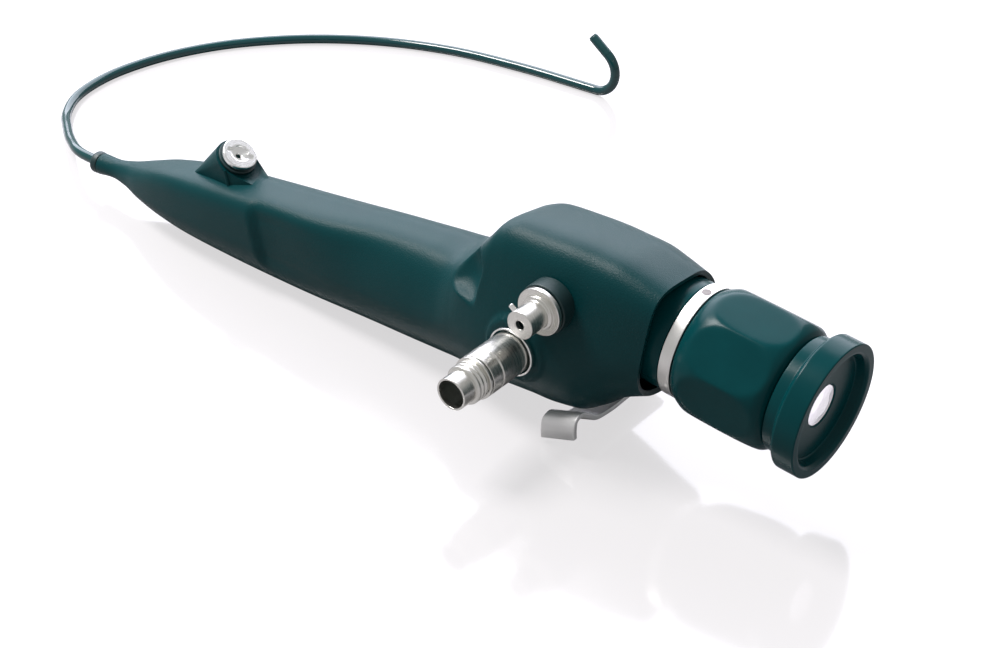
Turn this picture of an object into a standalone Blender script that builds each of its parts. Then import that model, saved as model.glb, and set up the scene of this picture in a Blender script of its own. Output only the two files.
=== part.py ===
"""Flexible fibre endoscope lying on a table.

Its handle is a slim grip that swells into a head, with an eyepiece at the back, a light
post and a venting connector on one side, a channel port on the grip, a thumb lever under
the head, and a thin insertion tube that ends in a steerable tip.

Units are metres, +X runs back along the scope to the eye and +Z is up. The origin is on the
table, under the middle of the handle. Sizes named "_BACK" are measured from the eyepiece
window towards the nose; heights are above the table.
"""
import math

import bmesh
import bpy
import numpy as np
from mathutils import Matrix, Vector

MM = 0.001
CLEARANCE = 0.3 * MM          # between pieces that touch or run on each other

# Eyepiece, measured along its own axis from the window's front face
EYE_TILT = math.radians(5.8)  # the eyepiece droops towards the eye
EYE_HEIGHT = 27.2 * MM        # window centre above the table
CUP_RADIUS = 15.9 * MM        # standard 31.8 mm camera-coupler cup
CUP_PROUD = 2.7 * MM          # rim in front of the window
CUP_MOUTH_RADIUS = 13.2 * MM
CUP_DEPTH = 6.7 * MM          # the thick rim, front to back
CUP_TAIL_BACK = 6.6 * MM
CUP_TAIL_RADIUS = 13.5 * MM
CUP_FLOOR = 2.2 * MM
CUP_LIP = 0.6 * MM            # rounding of its rims
WINDOW_RADIUS = 4.8 * MM
WINDOW_THICKNESS = 2.2 * MM
FOCUS_BACK = 30.4 * MM        # distal end of the focusing ring
FOCUS_END_RADIUS = 13.2 * MM
FOCUS_BULGE_RADIUS = 15.9 * MM
FOCUS_FLATS = 8
FOCUS_FLAT_APOTHEM = 14.5 * MM
FOCUS_BORE = 12.0 * MM
FOCUS_TURN = math.radians(6.75)
FOCUS_SWELL = [(0.0, 0.0), (0.07, 0.38), (0.16, 0.72), (0.3, 0.93), (0.45, 1.0), (0.62, 0.98),
               (0.78, 0.88), (0.89, 0.66), (0.96, 0.34), (1.0, 0.0)]   # shares of length and bulge
INDEX_WIDTH = 3.0 * MM
INDEX_RADIUS = 13.4 * MM
INDEX_EDGE = 0.15 * MM
NECK_RADIUS = 13.0 * MM
NECK_BACK = 45.0 * MM
NECK_WALL = 1.2 * MM
NECK_WEB = 2.0 * MM
CELL_WALL = 2.4 * MM
CELL_LENGTH = 15.0 * MM
CELL_BACK = 21.0 * MM
CELL_FLOOR = 2.0 * MM
CELL_LIP = 1.2 * MM
CELL_LENS_THICKNESS = 2.6 * MM
RETAINER_WIDTH = 1.3 * MM
RETAINER_LAP = 0.8 * MM       # over the window's edge
FERRULE_RADIUS = 2.6 * MM     # image guide's rear ferrule
FERRULE_LENGTH = 19.0 * MM

# Handle
NOSE_BACK = 226.0 * MM        # nose ring's front face
NOSE_HEIGHT = 8.1 * MM
NOSE_RING_RADIUS = 3.4 * MM
NOSE_RING_WIDTH = 2.2 * MM
NOSE_RING_SOFTNESS = 0.8 * MM
HOLDER_WALL = 0.9 * MM        # of the ferrule that holds the insertion tube
HOLDER_BORE = 0.9 * MM
HOLDER_FLANGE = 1.2 * MM
HOLDER_MOUTH = 3.0 * MM
HOLDER_TAIL = 9.0 * MM
RIM_BACK = 37.0 * MM          # housing's open rear rim, along the eyepiece's axis
SHELL = 1.2 * MM
GRIP_SQUARENESS = 2.05        # of the housing's lower half
HEAD_SQUARENESS = 2.6
HEAD_ROLL = math.radians(12)  # the head is turned about the grip, near side up
ROLL_START = 96.0 * MM
ROLL_END = 76.0 * MM
DENT_BACK = 97.0 * MM         # finger rest's middle
DENT_HEIGHT = 26.5 * MM
DENT_LENGTH = 7.5 * MM
DENT_RISE = 6.0 * MM
DENT_DEPTH = 0.2              # as a share of the half width
RING_SIDES = 24
RINGS = 28
FINE_STEPS = 36               # sides of the widest turned pieces
STEPS = 24
SMALL_STEPS = 14              # of small or hidden ones

# Channel port
PORT_BACK = 171.4 * MM
PORT_HEIGHT = 28.5 * MM
PORT_TILT = math.radians(35.0)
PORT_RADIUS = 4.5 * MM
PORT_BORE = 2.3 * MM
PORT_CHANNEL = 1.38 * MM      # narrower channel below the mouth
PORT_MOUTH_DEPTH = 3.2 * MM
PORT_SOFTNESS = 0.4 * MM      # rounding of the polished rim
PORT_LENGTH = 9.0 * MM
PORT_RIM = 1.2 * MM
PORT_LIP = 1.4 * MM           # flange's rim above its seat
PORT_SLOT = 1.6 * MM          # the bayonet's two notches
PORT_SLOT_TURN = math.radians(40.0)
PORT_LUG_DEPTH = 0.9 * MM
PORT_GASKET_WIDTH = 0.8 * MM
BOSS_RADIUS = 5.3 * MM
BOSS_REACH = 14.6 * MM        # along the grip, distal of the port
BOSS_NOSE_HALF_WIDTH = 3.3 * MM
BOSS_HALF_WIDTH = 5.4 * MM
BOSS_HEEL = 2.8 * MM          # its widest place, towards the eye from the port
BOSS_TAIL = 9.5 * MM
BOSS_SEAT = 1.2 * MM          # depth of its round seat below the port's rim plane
BOSS_SINK = 1.6 * MM          # below the grip's top line

# Light post
POST_BACK = 68.5 * MM
POST_HEIGHT = 22.8 * MM
POST_RADIUS = 5.2 * MM
POST_REACH = 41.0 * MM        # end face, from the midplane
POST_TIP_RADIUS = 3.9 * MM
POST_TIP_LENGTH = 4.0 * MM
POST_THREAD_PITCH = 1.2 * MM
POST_THREAD_DEPTH = 0.35 * MM
POST_THREAD_RADIUS = 4.7 * MM
POST_THREAD_TURNS = 3
POST_GROOVE_BACK = 3.4 * MM   # fine groove behind the barrel's end
POST_EDGE = 0.15 * MM         # broken edges
POST_COLLAR = 0.8 * MM
POST_BORE = 3.4 * MM
POST_RING_RADIUS = 6.0 * MM
POST_RING_WIDTH = 1.0 * MM
POST_SEAT = 18.9 * MM         # flat pad on the housing, from the midplane
POST_PAD = 4.0 * MM
POST_PAD_RADIUS = 8.2 * MM
POST_INSIDE = 7.0 * MM
POST_NUT = 2.2 * MM
POST_NUT_WALL = 2.2 * MM
FIBRE_DEPTH = 6.0 * MM        # fibre face behind the post's mouth

# Venting connector
VENT_BACK = 60.4 * MM
VENT_HEIGHT = 37.0 * MM
VENT_SEAT = 18.1 * MM
VENT_PAD = 6.4 * MM
VENT_PAD_RADIUS = 7.0 * MM
VENT_GASKET_RADIUS = 6.5 * MM
VENT_GASKET_WIDTH = 0.8 * MM
VENT_FLANGE_RADIUS = 5.7 * MM
VENT_FLANGE_WIDTH = 1.2 * MM
VENT_RADIUS = 3.4 * MM
VENT_LENGTH = 6.6 * MM
VENT_MOUTH = 1.1 * MM
VENT_BORE = 2.4 * MM
VENT_LIP = 1.2 * MM
VENT_INSIDE = 3.0 * MM
VENT_PIN_RADIUS = 0.58 * MM
VENT_PIN_PROUD = 2.0 * MM
VENT_PIN_BACK = 1.7 * MM      # behind the connector's end face
VENT_PIN_TILT = math.radians(18.0)
VENT_PIN_ROOT = 0.7 * MM      # how deep it sits in the wall
PIN_FIT = 0.12 * MM
VENT_EDGE = 0.2 * MM          # broken edges
VENT_STEP = 0.6 * MM          # step between the flange and the barrel
VENT_STEP_RADIUS = 4.1 * MM
POPPET_HEAD = 1.9 * MM
POPPET_CONE = 0.6 * MM
POPPET_STEM = 0.7 * MM
POPPET_TRAVEL = 0.8 * MM
SPRING_WIRE = 0.22 * MM
SPRING_TURNS = 5
SPRING_SIDES = 10
SPRING_SEAT = 1.0 * MM

# Steering
PIVOT_BACK = 78.0 * MM
PIVOT_HEIGHT = 30.2 * MM
SHAFT_RADIUS = 2.2 * MM
SHAFT_STEP = 0.7 * MM         # thinner end that carries the lever
BUSH_RADIUS = 4.4 * MM
BUSH_STEP = 0.9 * MM
BUSH_SHOULDER = 3.0 * MM      # behind the wall
SEAL_WIDTH = 1.0 * MM
SEAL_WALL = 1.1 * MM
DRUM_RADIUS = 6.0 * MM
DRUM_WIDTH = 4.0 * MM
DRUM_FLANGE = 1.4 * MM
DRUM_GROOVE = 1.8 * MM
CHASSIS_THICKNESS = 1.6 * MM
CHASSIS_HEAD = 14.0 * MM      # plate's reach round the shaft, forward
CHASSIS_RISE = 9.8 * MM       # and upward
CHASSIS_DROP = 16.2 * MM      # and downward
SPAR_TOP = 12.0 * MM          # its long spar down the grip
SPAR_BOTTOM = 6.5 * MM
SPAR_SHOULDER = 28.0 * MM     # forward of the shaft
SPAR_EDGE = 1.2 * MM          # metal left below its holes
SPAR_HOLE = 2.2 * MM
SPAR_HOLE_PITCH = 24.0 * MM
FAR_WALL = 17.9 * MM          # outside of the housing's far side at the pivot
HUB_RADIUS = 6.2 * MM
HUB_THICKNESS = 2.2 * MM
LEVER_THICKNESS = 1.3 * MM
LEVER_WIDTH = 8.6 * MM
LEVER_LEAN = math.radians(19.0)
LEVER_BACK = 56.8 * MM        # middle of the thumb strip
LEVER_HEIGHT = 3.5 * MM
SCREW_HEAD_RADIUS = 3.0 * MM
SCREW_HEAD = 1.2 * MM
SCREW_EDGE = 0.4 * MM
SCREW_SLOT = 0.7 * MM
WIRE_RADIUS = 0.5 * MM
WIRE_LENGTH = 27.0 * MM
GUIDE_BACK = 94.8 * MM        # middle of the guide block that turns the wires into the grip
GUIDE_HEIGHT = 18.4 * MM
GUIDE_LENGTH = 7.0 * MM
GUIDE_MARGIN = 1.4 * MM       # outside the wires
WIRE_SLOPE = math.atan2(PIVOT_HEIGHT - GUIDE_HEIGHT, GUIDE_BACK - PIVOT_BACK)
UPPER_WIRE_START = 9.0 * MM   # from the shaft, with the tip bent fully up
LOWER_WIRE_START = 1.5 * MM

# Insertion tube and steerable tip
TUBE_RADIUS = 1.4 * MM
TUBE_SIDES_RESOLUTION = 2
TUBE_POINTS = 64
TUBE_INSIDE = 20.0 * MM       # length held inside the nose
LINKS = 8
LINK_PITCH = 2.2 * MM
LINK_RADIUS = 0.85 * MM
LINK_LENGTH = 1.5 * MM
LINK_WALL = 0.3 * MM
BEND_UP = math.radians(143.0)
TIP_LENGTH = 7.0 * MM
TIP_EDGE = 0.25 * MM
TIP_SEAT = 0.8 * MM           # window's seat behind the end face
TIP_MOUTH = 0.7 * MM
TIP_BORE = 0.4 * MM
SHEATH_WALL = 0.2 * MM

# Where the handle's frame lies
CUP_REACH = CUP_PROUD * math.cos(EYE_TILT) + CUP_RADIUS * math.sin(EYE_TILT)
LENS_X = (NOSE_BACK - CUP_REACH) / 2
FAR_REACH = FAR_WALL + CLEARANCE + HUB_THICKNESS + CLEARANCE + SCREW_HEAD
MID_Y = (POST_REACH - FAR_REACH) / 2

# Housing sections: distance forward of the window, half width, then the top, the bottom and the
# widest place above the handle's centre line, squareness (2 is an ellipse) and how far the upper
# half leans in. Lengths are in mm. In front of the head they keep their share of the grip.
SECTIONS = [
    (223.5, 2.9, 2.6, -3.2, -0.3, 2.0, 0.0),
    (218.0, 2.9, 2.13, -3.87, -0.97, 2.0, 0.0),
    (212.0, 3.9, 2.81, -5.59, -1.39, 2.0, 0.0),
    (205.0, 6.1, 4.36, -8.24, -2.04, 2.1, 0.0),
    (196.0, 8.1, 6.27, -10.93, -2.53, 2.2, 0.05),
    (186.0, 9.5, 7.27, -12.83, -2.93, 2.2, 0.08),
    (172.0, 10.6, 7.77, -14.61, -3.63, 2.25, 0.1),
    (157.0, 11.3, 7.76, -16.34, -4.44, 2.25, 0.12),
    (140.0, 12.0, 7.51, -18.29, -5.49, 2.25, 0.12),
    (122.0, 12.8, 7.63, -19.97, -6.47, 2.25, 0.12),
    (104.0, 13.8, 7.66, -21.74, -7.24, 2.25, 0.12),
    (96.0, 14.7, 7.99, -22.41, -6.81, 2.25, 0.12),
    (91.0, 15.7, 10.39, -22.71, -5.01, 2.3, 0.14),
    (87.0, 16.5, 15.3, -23.0, -2.5, 2.4, 0.16),
    (82.0, 17.1, 19.9, -23.4, -0.5, 2.55, 0.17),
    (75.0, 17.5, 22.05, -24.15, 0.65, 2.7, 0.17),
    (67.0, 17.6, 21.99, -24.51, 1.09, 2.75, 0.17),
    (60.0, 17.4, 20.84, -24.36, 0.84, 2.75, 0.18),
    (54.0, 16.9, 19.52, -22.68, 0.52, 2.75, 0.19),
    (48.5, 16.4, 18.05, -18.75, 0.25, 2.75, 0.2),
    (43.0, 16.0, 16.59, -16.21, -0.21, 2.75, 0.2),
    (37.0, 15.7, 15.06, -14.74, -0.74, 2.75, 0.2),
]

# Insertion tube's route on the table, forward of the window and across, in mm: out of the
# nose, round in one wide loop, and back past the grip
TUBE_ROUTE = [
    (226.0, 0.0, 8.1),
    (234.5, 1.6, 7.2),
    (243.5, 6.4, 5.5),
    (253.0, 13.2, 3.7),
    (262.0, 21.0, 2.0),
    (268.0, 30.0, 1.5),
    (270.5, 43.0, 1.5),
    (268.5, 59.0, 1.5),
    (260.5, 78.0, 1.5),
    (246.0, 96.0, 1.5),
    (227.0, 110.5, 1.5),
    (203.0, 121.0, 1.5),
    (178.0, 125.7, 1.5),
]
TUBE_END_BACK = 153.0 * MM
TUBE_LIE = 1.5 * MM           # height of the lying tube's centre
TUBE_ACROSS = 127.8 * MM

parts = bpy.data.collections.new("fibre_endoscope")
guides = bpy.data.collections.new("cutters")


def clear_scene():
    """Remove whatever objects the file held."""
    for found in list(bpy.data.objects):
        bpy.data.objects.remove(found, do_unlink=True)
    bpy.context.scene.collection.children.link(parts)
    bpy.context.scene.collection.children.link(guides)


def at(back, across, height):
    """Point in the scope's frame: forward of the window, across the midplane, above the table."""
    return Vector((LENS_X - back, MID_Y + across, height))


def along(origin, direction):
    """Matrix that stands a local +Z shape at origin, pointing along direction."""
    turn = Vector((0, 0, 1)).rotation_difference(Vector(direction).normalized())
    return Matrix.Translation(origin) @ turn.to_matrix().to_4x4()


def material(name, colour, roughness, metallic=0.0):
    """Principled material, shared by the pieces that are made of it."""
    found = bpy.data.materials.get(name)
    if found:
        return found
    made = bpy.data.materials.new(name)
    made.use_nodes = True
    shader = made.node_tree.nodes["Principled BSDF"]
    shader.inputs["Base Color"].default_value = (*colour, 1.0)
    shader.inputs["Roughness"].default_value = roughness
    shader.inputs["Metallic"].default_value = metallic
    return made


def housing_plastic():
    return material("housing_plastic", (0.006, 0.045, 0.048), 0.5)


def black_plastic():
    return material("black_plastic", (0.008, 0.022, 0.026), 0.35)


def stainless():
    return material("stainless_steel", (0.62, 0.6, 0.57), 0.3, 1.0)


def satin_metal():
    return material("satin_metal", (0.8, 0.8, 0.79), 0.38, 1.0)


def black_rubber():
    return material("black_rubber", (0.01, 0.012, 0.012), 0.6)


def tube_coating():
    return material("tube_coating", (0.006, 0.03, 0.03), 0.2)


def optical_glass():
    return material("optical_glass", (0.85, 0.9, 0.88), 0.02)


def brass():
    return material("brass", (0.72, 0.55, 0.27), 0.35, 1.0)


def finish(piece, name, finish_material, collection=None):
    """Name a piece, give it its material and put it in its collection."""
    piece.name = name
    piece.data.name = name
    (collection or parts).objects.link(piece)
    if finish_material:
        piece.data.materials.append(finish_material)
    return piece


def as_cutter(piece):
    """Hide a shape that only cuts or joins another."""
    piece.hide_render = True
    piece.display_type = "WIRE"
    return piece


def turned(name, profile, place, finish_material, steps=STEPS, cutter=False):
    """Body of revolution about local Z: (radius, height) pairs that run down the outer side.

    A profile that starts and ends on the axis gives a solid; any other is closed on itself.
    """
    mesh = bpy.data.meshes.new(name)
    points = [(radius, 0.0, height) for radius, height in profile]
    edges = [(i, i + 1) for i in range(len(points) - 1)]
    if profile[0][0] > 0:
        edges.append((len(points) - 1, 0))
    mesh.from_pydata(points, edges, [])
    piece = bpy.data.objects.new(name, mesh)
    finish(piece, name, finish_material, guides if cutter else parts)
    screw = piece.modifiers.new("turn", "SCREW")
    screw.axis = "Z"
    screw.angle = math.tau
    screw.steps = steps
    screw.render_steps = steps
    screw.use_merge_vertices = True
    screw.merge_threshold = 0.00001
    screw.use_smooth_shade = True
    piece.matrix_world = place
    if cutter:
        as_cutter(piece)
    return piece


def rod(radius, low, high):
    """Profile of a plain solid cylinder between two heights."""
    return [(0.0, high), (radius, high), (radius, low), (0.0, low)]


def ring(outer, inner, low, high):
    """Profile of a plain tube between two heights."""
    return [(outer, high), (outer, low), (inner, low), (inner, high)]


def drill(piece, tool, operation="DIFFERENCE"):
    """Cut a piece with a tool, or join the two."""
    boolean = piece.modifiers.new(tool.name, "BOOLEAN")
    boolean.operation = operation
    boolean.solver = "EXACT"
    boolean.object = tool


def cylinder_tool(name, radius, low, high, place, steps=STEPS):
    """Round cutter along local Z, turned half a facet so that no edge of it meets a pad's."""
    half_facet = Matrix.Rotation(math.pi / steps, 4, "Z")
    return turned(name, rod(radius, low, high), place @ half_facet, None, steps, cutter=True)


def pad_tool(name, radius, low, high, place):
    """Round pad along local Z, to be joined to a wall."""
    return turned(name, rod(radius, low, high), place, None, cutter=True)


def slab(name, outline, thickness, place, finish_material, cutter=False):
    """Flat plate: a closed outline in local XY, as thick as given about local Z = 0."""
    curve = bpy.data.curves.new(name, "CURVE")
    curve.dimensions = "2D"
    curve.fill_mode = "BOTH"
    curve.extrude = thickness / 2
    spline = curve.splines.new("POLY")
    spline.points.add(len(outline) - 1)
    for point, (x, y) in zip(spline.points, outline):
        point.co = (x, y, 0.0, 1.0)
    spline.use_cyclic_u = True
    drawn = bpy.data.objects.new(name, curve)
    (guides if cutter else parts).objects.link(drawn)
    drawn.matrix_world = place
    return solid_from(drawn, name, finish_material, cutter)


def solid_from(drawn, name, finish_material, cutter=False):
    """Mesh of a drawn curve, with its caps welded, in the curve's place."""
    bpy.context.view_layer.update()
    mesh = bpy.data.meshes.new_from_object(drawn.evaluated_get(bpy.context.evaluated_depsgraph_get()))
    cage = bmesh.new()
    cage.from_mesh(mesh)
    bmesh.ops.remove_doubles(cage, verts=cage.verts, dist=0.000001)
    bmesh.ops.recalc_face_normals(cage, faces=cage.faces)
    cage.to_mesh(mesh)
    cage.free()
    mesh.materials.clear()
    place = drawn.matrix_world.copy()
    bpy.data.objects.remove(drawn, do_unlink=True)
    piece = finish(bpy.data.objects.new(name, mesh), name, finish_material, guides if cutter else parts)
    piece.matrix_world = place
    return as_cutter(piece) if cutter else piece


def wire(name, points, radius, finish_material, resolution=2, capped=True):
    """Round wire through a list of points."""
    curve = bpy.data.curves.new(name, "CURVE")
    curve.dimensions = "3D"
    curve.bevel_depth = radius
    curve.bevel_resolution = resolution
    curve.use_fill_caps = capped
    spline = curve.splines.new("POLY")
    spline.points.add(len(points) - 1)
    for point, place in zip(spline.points, points):
        point.co = (*place, 1.0)
    return finish(bpy.data.objects.new(name, curve), name, finish_material)


def arc(centre, radius, start, end, count):
    """Points on an arc in the plane, from start to end angle."""
    return [(centre[0] + radius * math.cos(start + (end - start) * i / (count - 1)),
             centre[1] + radius * math.sin(start + (end - start) * i / (count - 1)))
            for i in range(count)]


def smooth(places, values, wanted):
    """Cubic curve through values at places, with slopes held so that it never overshoots."""
    places, values = np.asarray(places, float), np.asarray(values, float)
    step = np.diff(places)
    slope = np.diff(values) / step
    inner = np.where(slope[1:] * slope[:-1] > 0,
                     2 * slope[1:] * slope[:-1] / (slope[1:] + slope[:-1] + 1e-12), 0.0)
    tangent = np.concatenate([[slope[0]], inner, [slope[-1]]])
    k = np.clip(np.searchsorted(places, wanted) - 1, 0, len(step) - 1)
    t = (wanted - places[k]) / step[k]
    return (values[k] * (1 + 2 * t) * (1 - t) ** 2 + values[k + 1] * t ** 2 * (3 - 2 * t)
            + step[k] * (tangent[k] * t * (1 - t) ** 2 - tangent[k + 1] * t ** 2 * (1 - t)))


def rim_height():
    """Height of the eyepiece's axis at the housing's rear rim."""
    return EYE_HEIGHT + RIM_BACK * math.sin(EYE_TILT)


def centre_height(back):
    """Height of the handle's centre line, straight from the nose to the eyepiece at the rim."""
    share = (back - RIM_BACK) / (NOSE_BACK - RIM_BACK)
    return rim_height() + (NOSE_HEIGHT - rim_height()) * share


def shell_front():
    """Where the housing ends, behind the nose ring."""
    return NOSE_BACK - NOSE_RING_WIDTH - CLEARANCE


def section_at(back):
    """Housing's half width, top, bottom, widest height, squareness and lean at a distance."""
    table = np.array(SECTIONS)[::-1]
    places = table[:, 0] * MM
    share = (places - ROLL_START) / (places[-1] - ROLL_START)
    places = np.where(share > 0, ROLL_START + share * (shell_front() - ROLL_START), places)
    half, top, bottom, widest, power, lean = (smooth(places, table[:, i], back) for i in range(1, 7))
    centre = centre_height(back)
    return (half * MM, centre + top * MM, centre + bottom * MM, centre + widest * MM, power, lean)


def section_points(back, sides):
    """Ring of points round the housing, starting on the far side and running over the top."""
    half, top, bottom, widest, power, lean = section_at(back)
    angle = np.arange(sides) * math.tau / sides
    head = ease((ROLL_START - back) / (ROLL_START - ROLL_END))
    lower = GRIP_SQUARENESS + (HEAD_SQUARENESS - GRIP_SQUARENESS) * head
    power = np.where(np.sin(angle) > 0, power, lower)
    across = np.sign(np.cos(angle)) * np.abs(np.cos(angle)) ** (2 / power)
    rise = np.sign(np.sin(angle)) * np.abs(np.sin(angle)) ** (2 / power)
    lift = np.where(rise > 0, (top - widest) * rise, (widest - bottom) * rise)
    width = half * across * (1 - lean * np.clip(rise, 0, 1) ** 1.5)
    roll = HEAD_ROLL * head
    height = widest - width * math.sin(roll) + lift * math.cos(roll)
    width = (width * math.cos(roll) + lift * math.sin(roll)) * (1 - finger_dent(back, height))
    blend = 1 - ease((back - RIM_BACK) / (PIVOT_BACK - RIM_BACK))
    x = LENS_X - back + (height - rim_height()) * math.tan(EYE_TILT) * blend
    return np.stack([x, MID_Y + width, height], axis=1)


def ease(share):
    """Smooth step from 0 to 1."""
    share = min(max(share, 0.0), 1.0)
    return share * share * (3 - 2 * share)


def finger_dent(back, height):
    """Share by which the wall is drawn in at the finger rest in front of the head."""
    along_grip = (back - DENT_BACK) / DENT_LENGTH
    up_grip = (height - DENT_HEIGHT) / DENT_RISE
    return DENT_DEPTH * np.exp(-along_grip ** 2 - up_grip ** 2)


def housing():
    """Moulded shell from the nose to the eyepiece, with its port boss, seats and holes."""
    front = shell_front()
    spacing = np.linspace(0, 1, RINGS)
    backs = front + (RIM_BACK - front) * (spacing + 0.06 * np.sin(math.tau * spacing))
    rings = np.array([section_points(back, RING_SIDES) for back in backs])
    mesh = bpy.data.meshes.new("handle_housing")
    index = np.arange(RINGS * RING_SIDES).reshape(RINGS, RING_SIDES)
    following = np.roll(index, -1, axis=1)
    faces = np.stack([index[:-1], following[:-1], following[1:], index[1:]], axis=-1).reshape(-1, 4)
    mesh.from_pydata(rings.reshape(-1, 3).tolist(), [], faces.tolist())
    mesh.shade_smooth()
    piece = finish(bpy.data.objects.new("handle_housing", mesh), "handle_housing", housing_plastic())
    wall = piece.modifiers.new("wall", "SOLIDIFY")
    wall.thickness = SHELL
    wall.offset = -1.0
    wall.use_even_offset = True
    drill(piece, port_boss(), "UNION")
    port = port_place()
    over = PORT_LENGTH
    drill(piece, pad_tool("port_seat", BOSS_RADIUS + 1 * MM, -BOSS_SEAT, over, port))
    boss_bore = PORT_BORE + PORT_RIM + CLEARANCE
    drill(piece, cylinder_tool("boss_bore", boss_bore, -PORT_LENGTH - over, over, port))
    post = along(at(POST_BACK, 0, POST_HEIGHT), (0, -1, 0))
    vent = along(at(VENT_BACK, 0, VENT_HEIGHT), (0, -1, 0))
    far = along(at(PIVOT_BACK, 0, PIVOT_HEIGHT), (0, 1, 0))
    drill(piece, pad_tool("post_pad", POST_PAD_RADIUS, POST_SEAT - POST_PAD, POST_SEAT, post), "UNION")
    drill(piece, pad_tool("vent_pad", VENT_PAD_RADIUS, VENT_SEAT - VENT_PAD, VENT_SEAT, vent), "UNION")
    drill(piece, cylinder_tool("post_hole", POST_RADIUS + CLEARANCE, 8 * MM, POST_REACH, post))
    drill(piece, cylinder_tool("vent_hole", VENT_RADIUS + CLEARANCE, 6 * MM, POST_REACH, vent))
    drill(piece, cylinder_tool("shaft_hole", BUSH_RADIUS + CLEARANCE, 6 * MM, FAR_REACH, far))
    return piece


def port_place():
    """Port's frame: origin in the middle of its rim, +Z out of it, up and towards the eye."""
    return along(at(PORT_BACK, 0, PORT_HEIGHT), (math.sin(PORT_TILT), 0, math.cos(PORT_TILT)))


def port_boss():
    """Wedge that carries the port: the hull of a round top and a diamond base on the grip."""
    place = port_place()
    top = [place @ Vector((BOSS_RADIUS * math.cos(a), BOSS_RADIUS * math.sin(a), -BOSS_SEAT / 2))
           for a in np.arange(STEPS) * math.tau / STEPS]
    corners = ((BOSS_REACH, BOSS_NOSE_HALF_WIDTH, BOSS_SINK), (-BOSS_HEEL, BOSS_HALF_WIDTH, 1.5 * BOSS_SINK),
               (-BOSS_TAIL, BOSS_NOSE_HALF_WIDTH * 0.6, 0.6 * BOSS_SINK))
    base = [at(PORT_BACK + reach, side * half, section_at(PORT_BACK + reach)[1] - sink)
            for reach, half, sink in corners for side in (-1, 1)]
    cage = bmesh.new()
    for point in top + base:
        cage.verts.new(point)
    hull = bmesh.ops.convex_hull(cage, input=cage.verts)
    spare = [v for v in hull["geom_interior"] + hull["geom_unused"] if isinstance(v, bmesh.types.BMVert)]
    bmesh.ops.delete(cage, geom=list(set(spare)), context="VERTS")
    bmesh.ops.recalc_face_normals(cage, faces=cage.faces)
    mesh = bpy.data.meshes.new("port_boss")
    cage.to_mesh(mesh)
    cage.free()
    return as_cutter(finish(bpy.data.objects.new("port_boss", mesh), "port_boss", None, guides))


def nose_place():
    """Nose's frame: origin at the nose ring's front face, +Z back along the grip."""
    return along(at(NOSE_BACK, 0, NOSE_HEIGHT), (1, 0, 0))


def nose():
    """Rounded ring at the nose, and the holder that grips the insertion tube inside it."""
    bore = TUBE_RADIUS + CLEARANCE
    high = NOSE_RING_WIDTH
    soft = NOSE_RING_SOFTNESS
    ring_profile = [(NOSE_RING_RADIUS - 0.3 * soft, high), (NOSE_RING_RADIUS, high - soft),
                    (NOSE_RING_RADIUS, soft), (NOSE_RING_RADIUS - 0.3 * soft, 0.3 * soft),
                    (NOSE_RING_RADIUS - soft, 0.0), (bore, 0.0), (bore, high)]
    turned("nose_ring", ring_profile, nose_place(), black_rubber())
    section = section_at(NOSE_BACK - TUBE_INSIDE + HOLDER_MOUTH / 2)
    flange = min(section[1] - NOSE_HEIGHT, NOSE_HEIGHT - section[2]) - SHELL - CLEARANCE
    tail = TUBE_INSIDE + HOLDER_TAIL
    step = TUBE_INSIDE + HOLDER_FLANGE
    mouth = TUBE_INSIDE - HOLDER_MOUTH
    stop = TUBE_INSIDE + CLEARANCE
    holder = [(bore + HOLDER_WALL, tail), (bore + HOLDER_WALL, step), (flange, step),
              (flange, step - 1.5 * HOLDER_FLANGE), (bore + 0.8 * HOLDER_WALL, mouth), (bore, mouth),
              (bore, stop), (HOLDER_BORE, stop), (HOLDER_BORE, tail)]
    turned("tube_ferrule", holder, nose_place(), stainless(), SMALL_STEPS)


def channel_port():
    """Polished socket with a stepped bayonet mouth, on its sealing ring."""
    place = port_place()
    flange = PORT_RADIUS
    stem = PORT_BORE + PORT_RIM
    profile = [(flange - PORT_SOFTNESS, PORT_LIP), (flange, PORT_LIP - PORT_SOFTNESS), (flange, 0.0),
               (stem, 0.0), (stem, -PORT_LENGTH), (PORT_CHANNEL, -PORT_LENGTH),
               (PORT_CHANNEL, -PORT_MOUTH_DEPTH), (PORT_BORE, -PORT_MOUTH_DEPTH), (PORT_BORE, PORT_LIP)]
    socket = turned("channel_port", profile, place, stainless())
    half_slot = PORT_SLOT / 2
    notch = [(-stem, -half_slot), (stem, -half_slot), (stem, half_slot), (-stem, half_slot)]
    notch_place = place @ Matrix.Translation((0, 0, PORT_LIP)) @ Matrix.Rotation(PORT_SLOT_TURN, 4, "Z")
    drill(socket, slab("port_notches", notch, PORT_LUG_DEPTH * 2, notch_place, None, cutter=True))
    gasket = ring(flange + CLEARANCE, stem + CLEARANCE, -PORT_GASKET_WIDTH - CLEARANCE, -CLEARANCE)
    turned("port_gasket", gasket, place, black_rubber())


def side_place(back, height):
    """Frame of a connector on the near side: origin on the midplane, +Z out of the wall."""
    return along(at(back, 0, height), (0, -1, 0))


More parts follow.
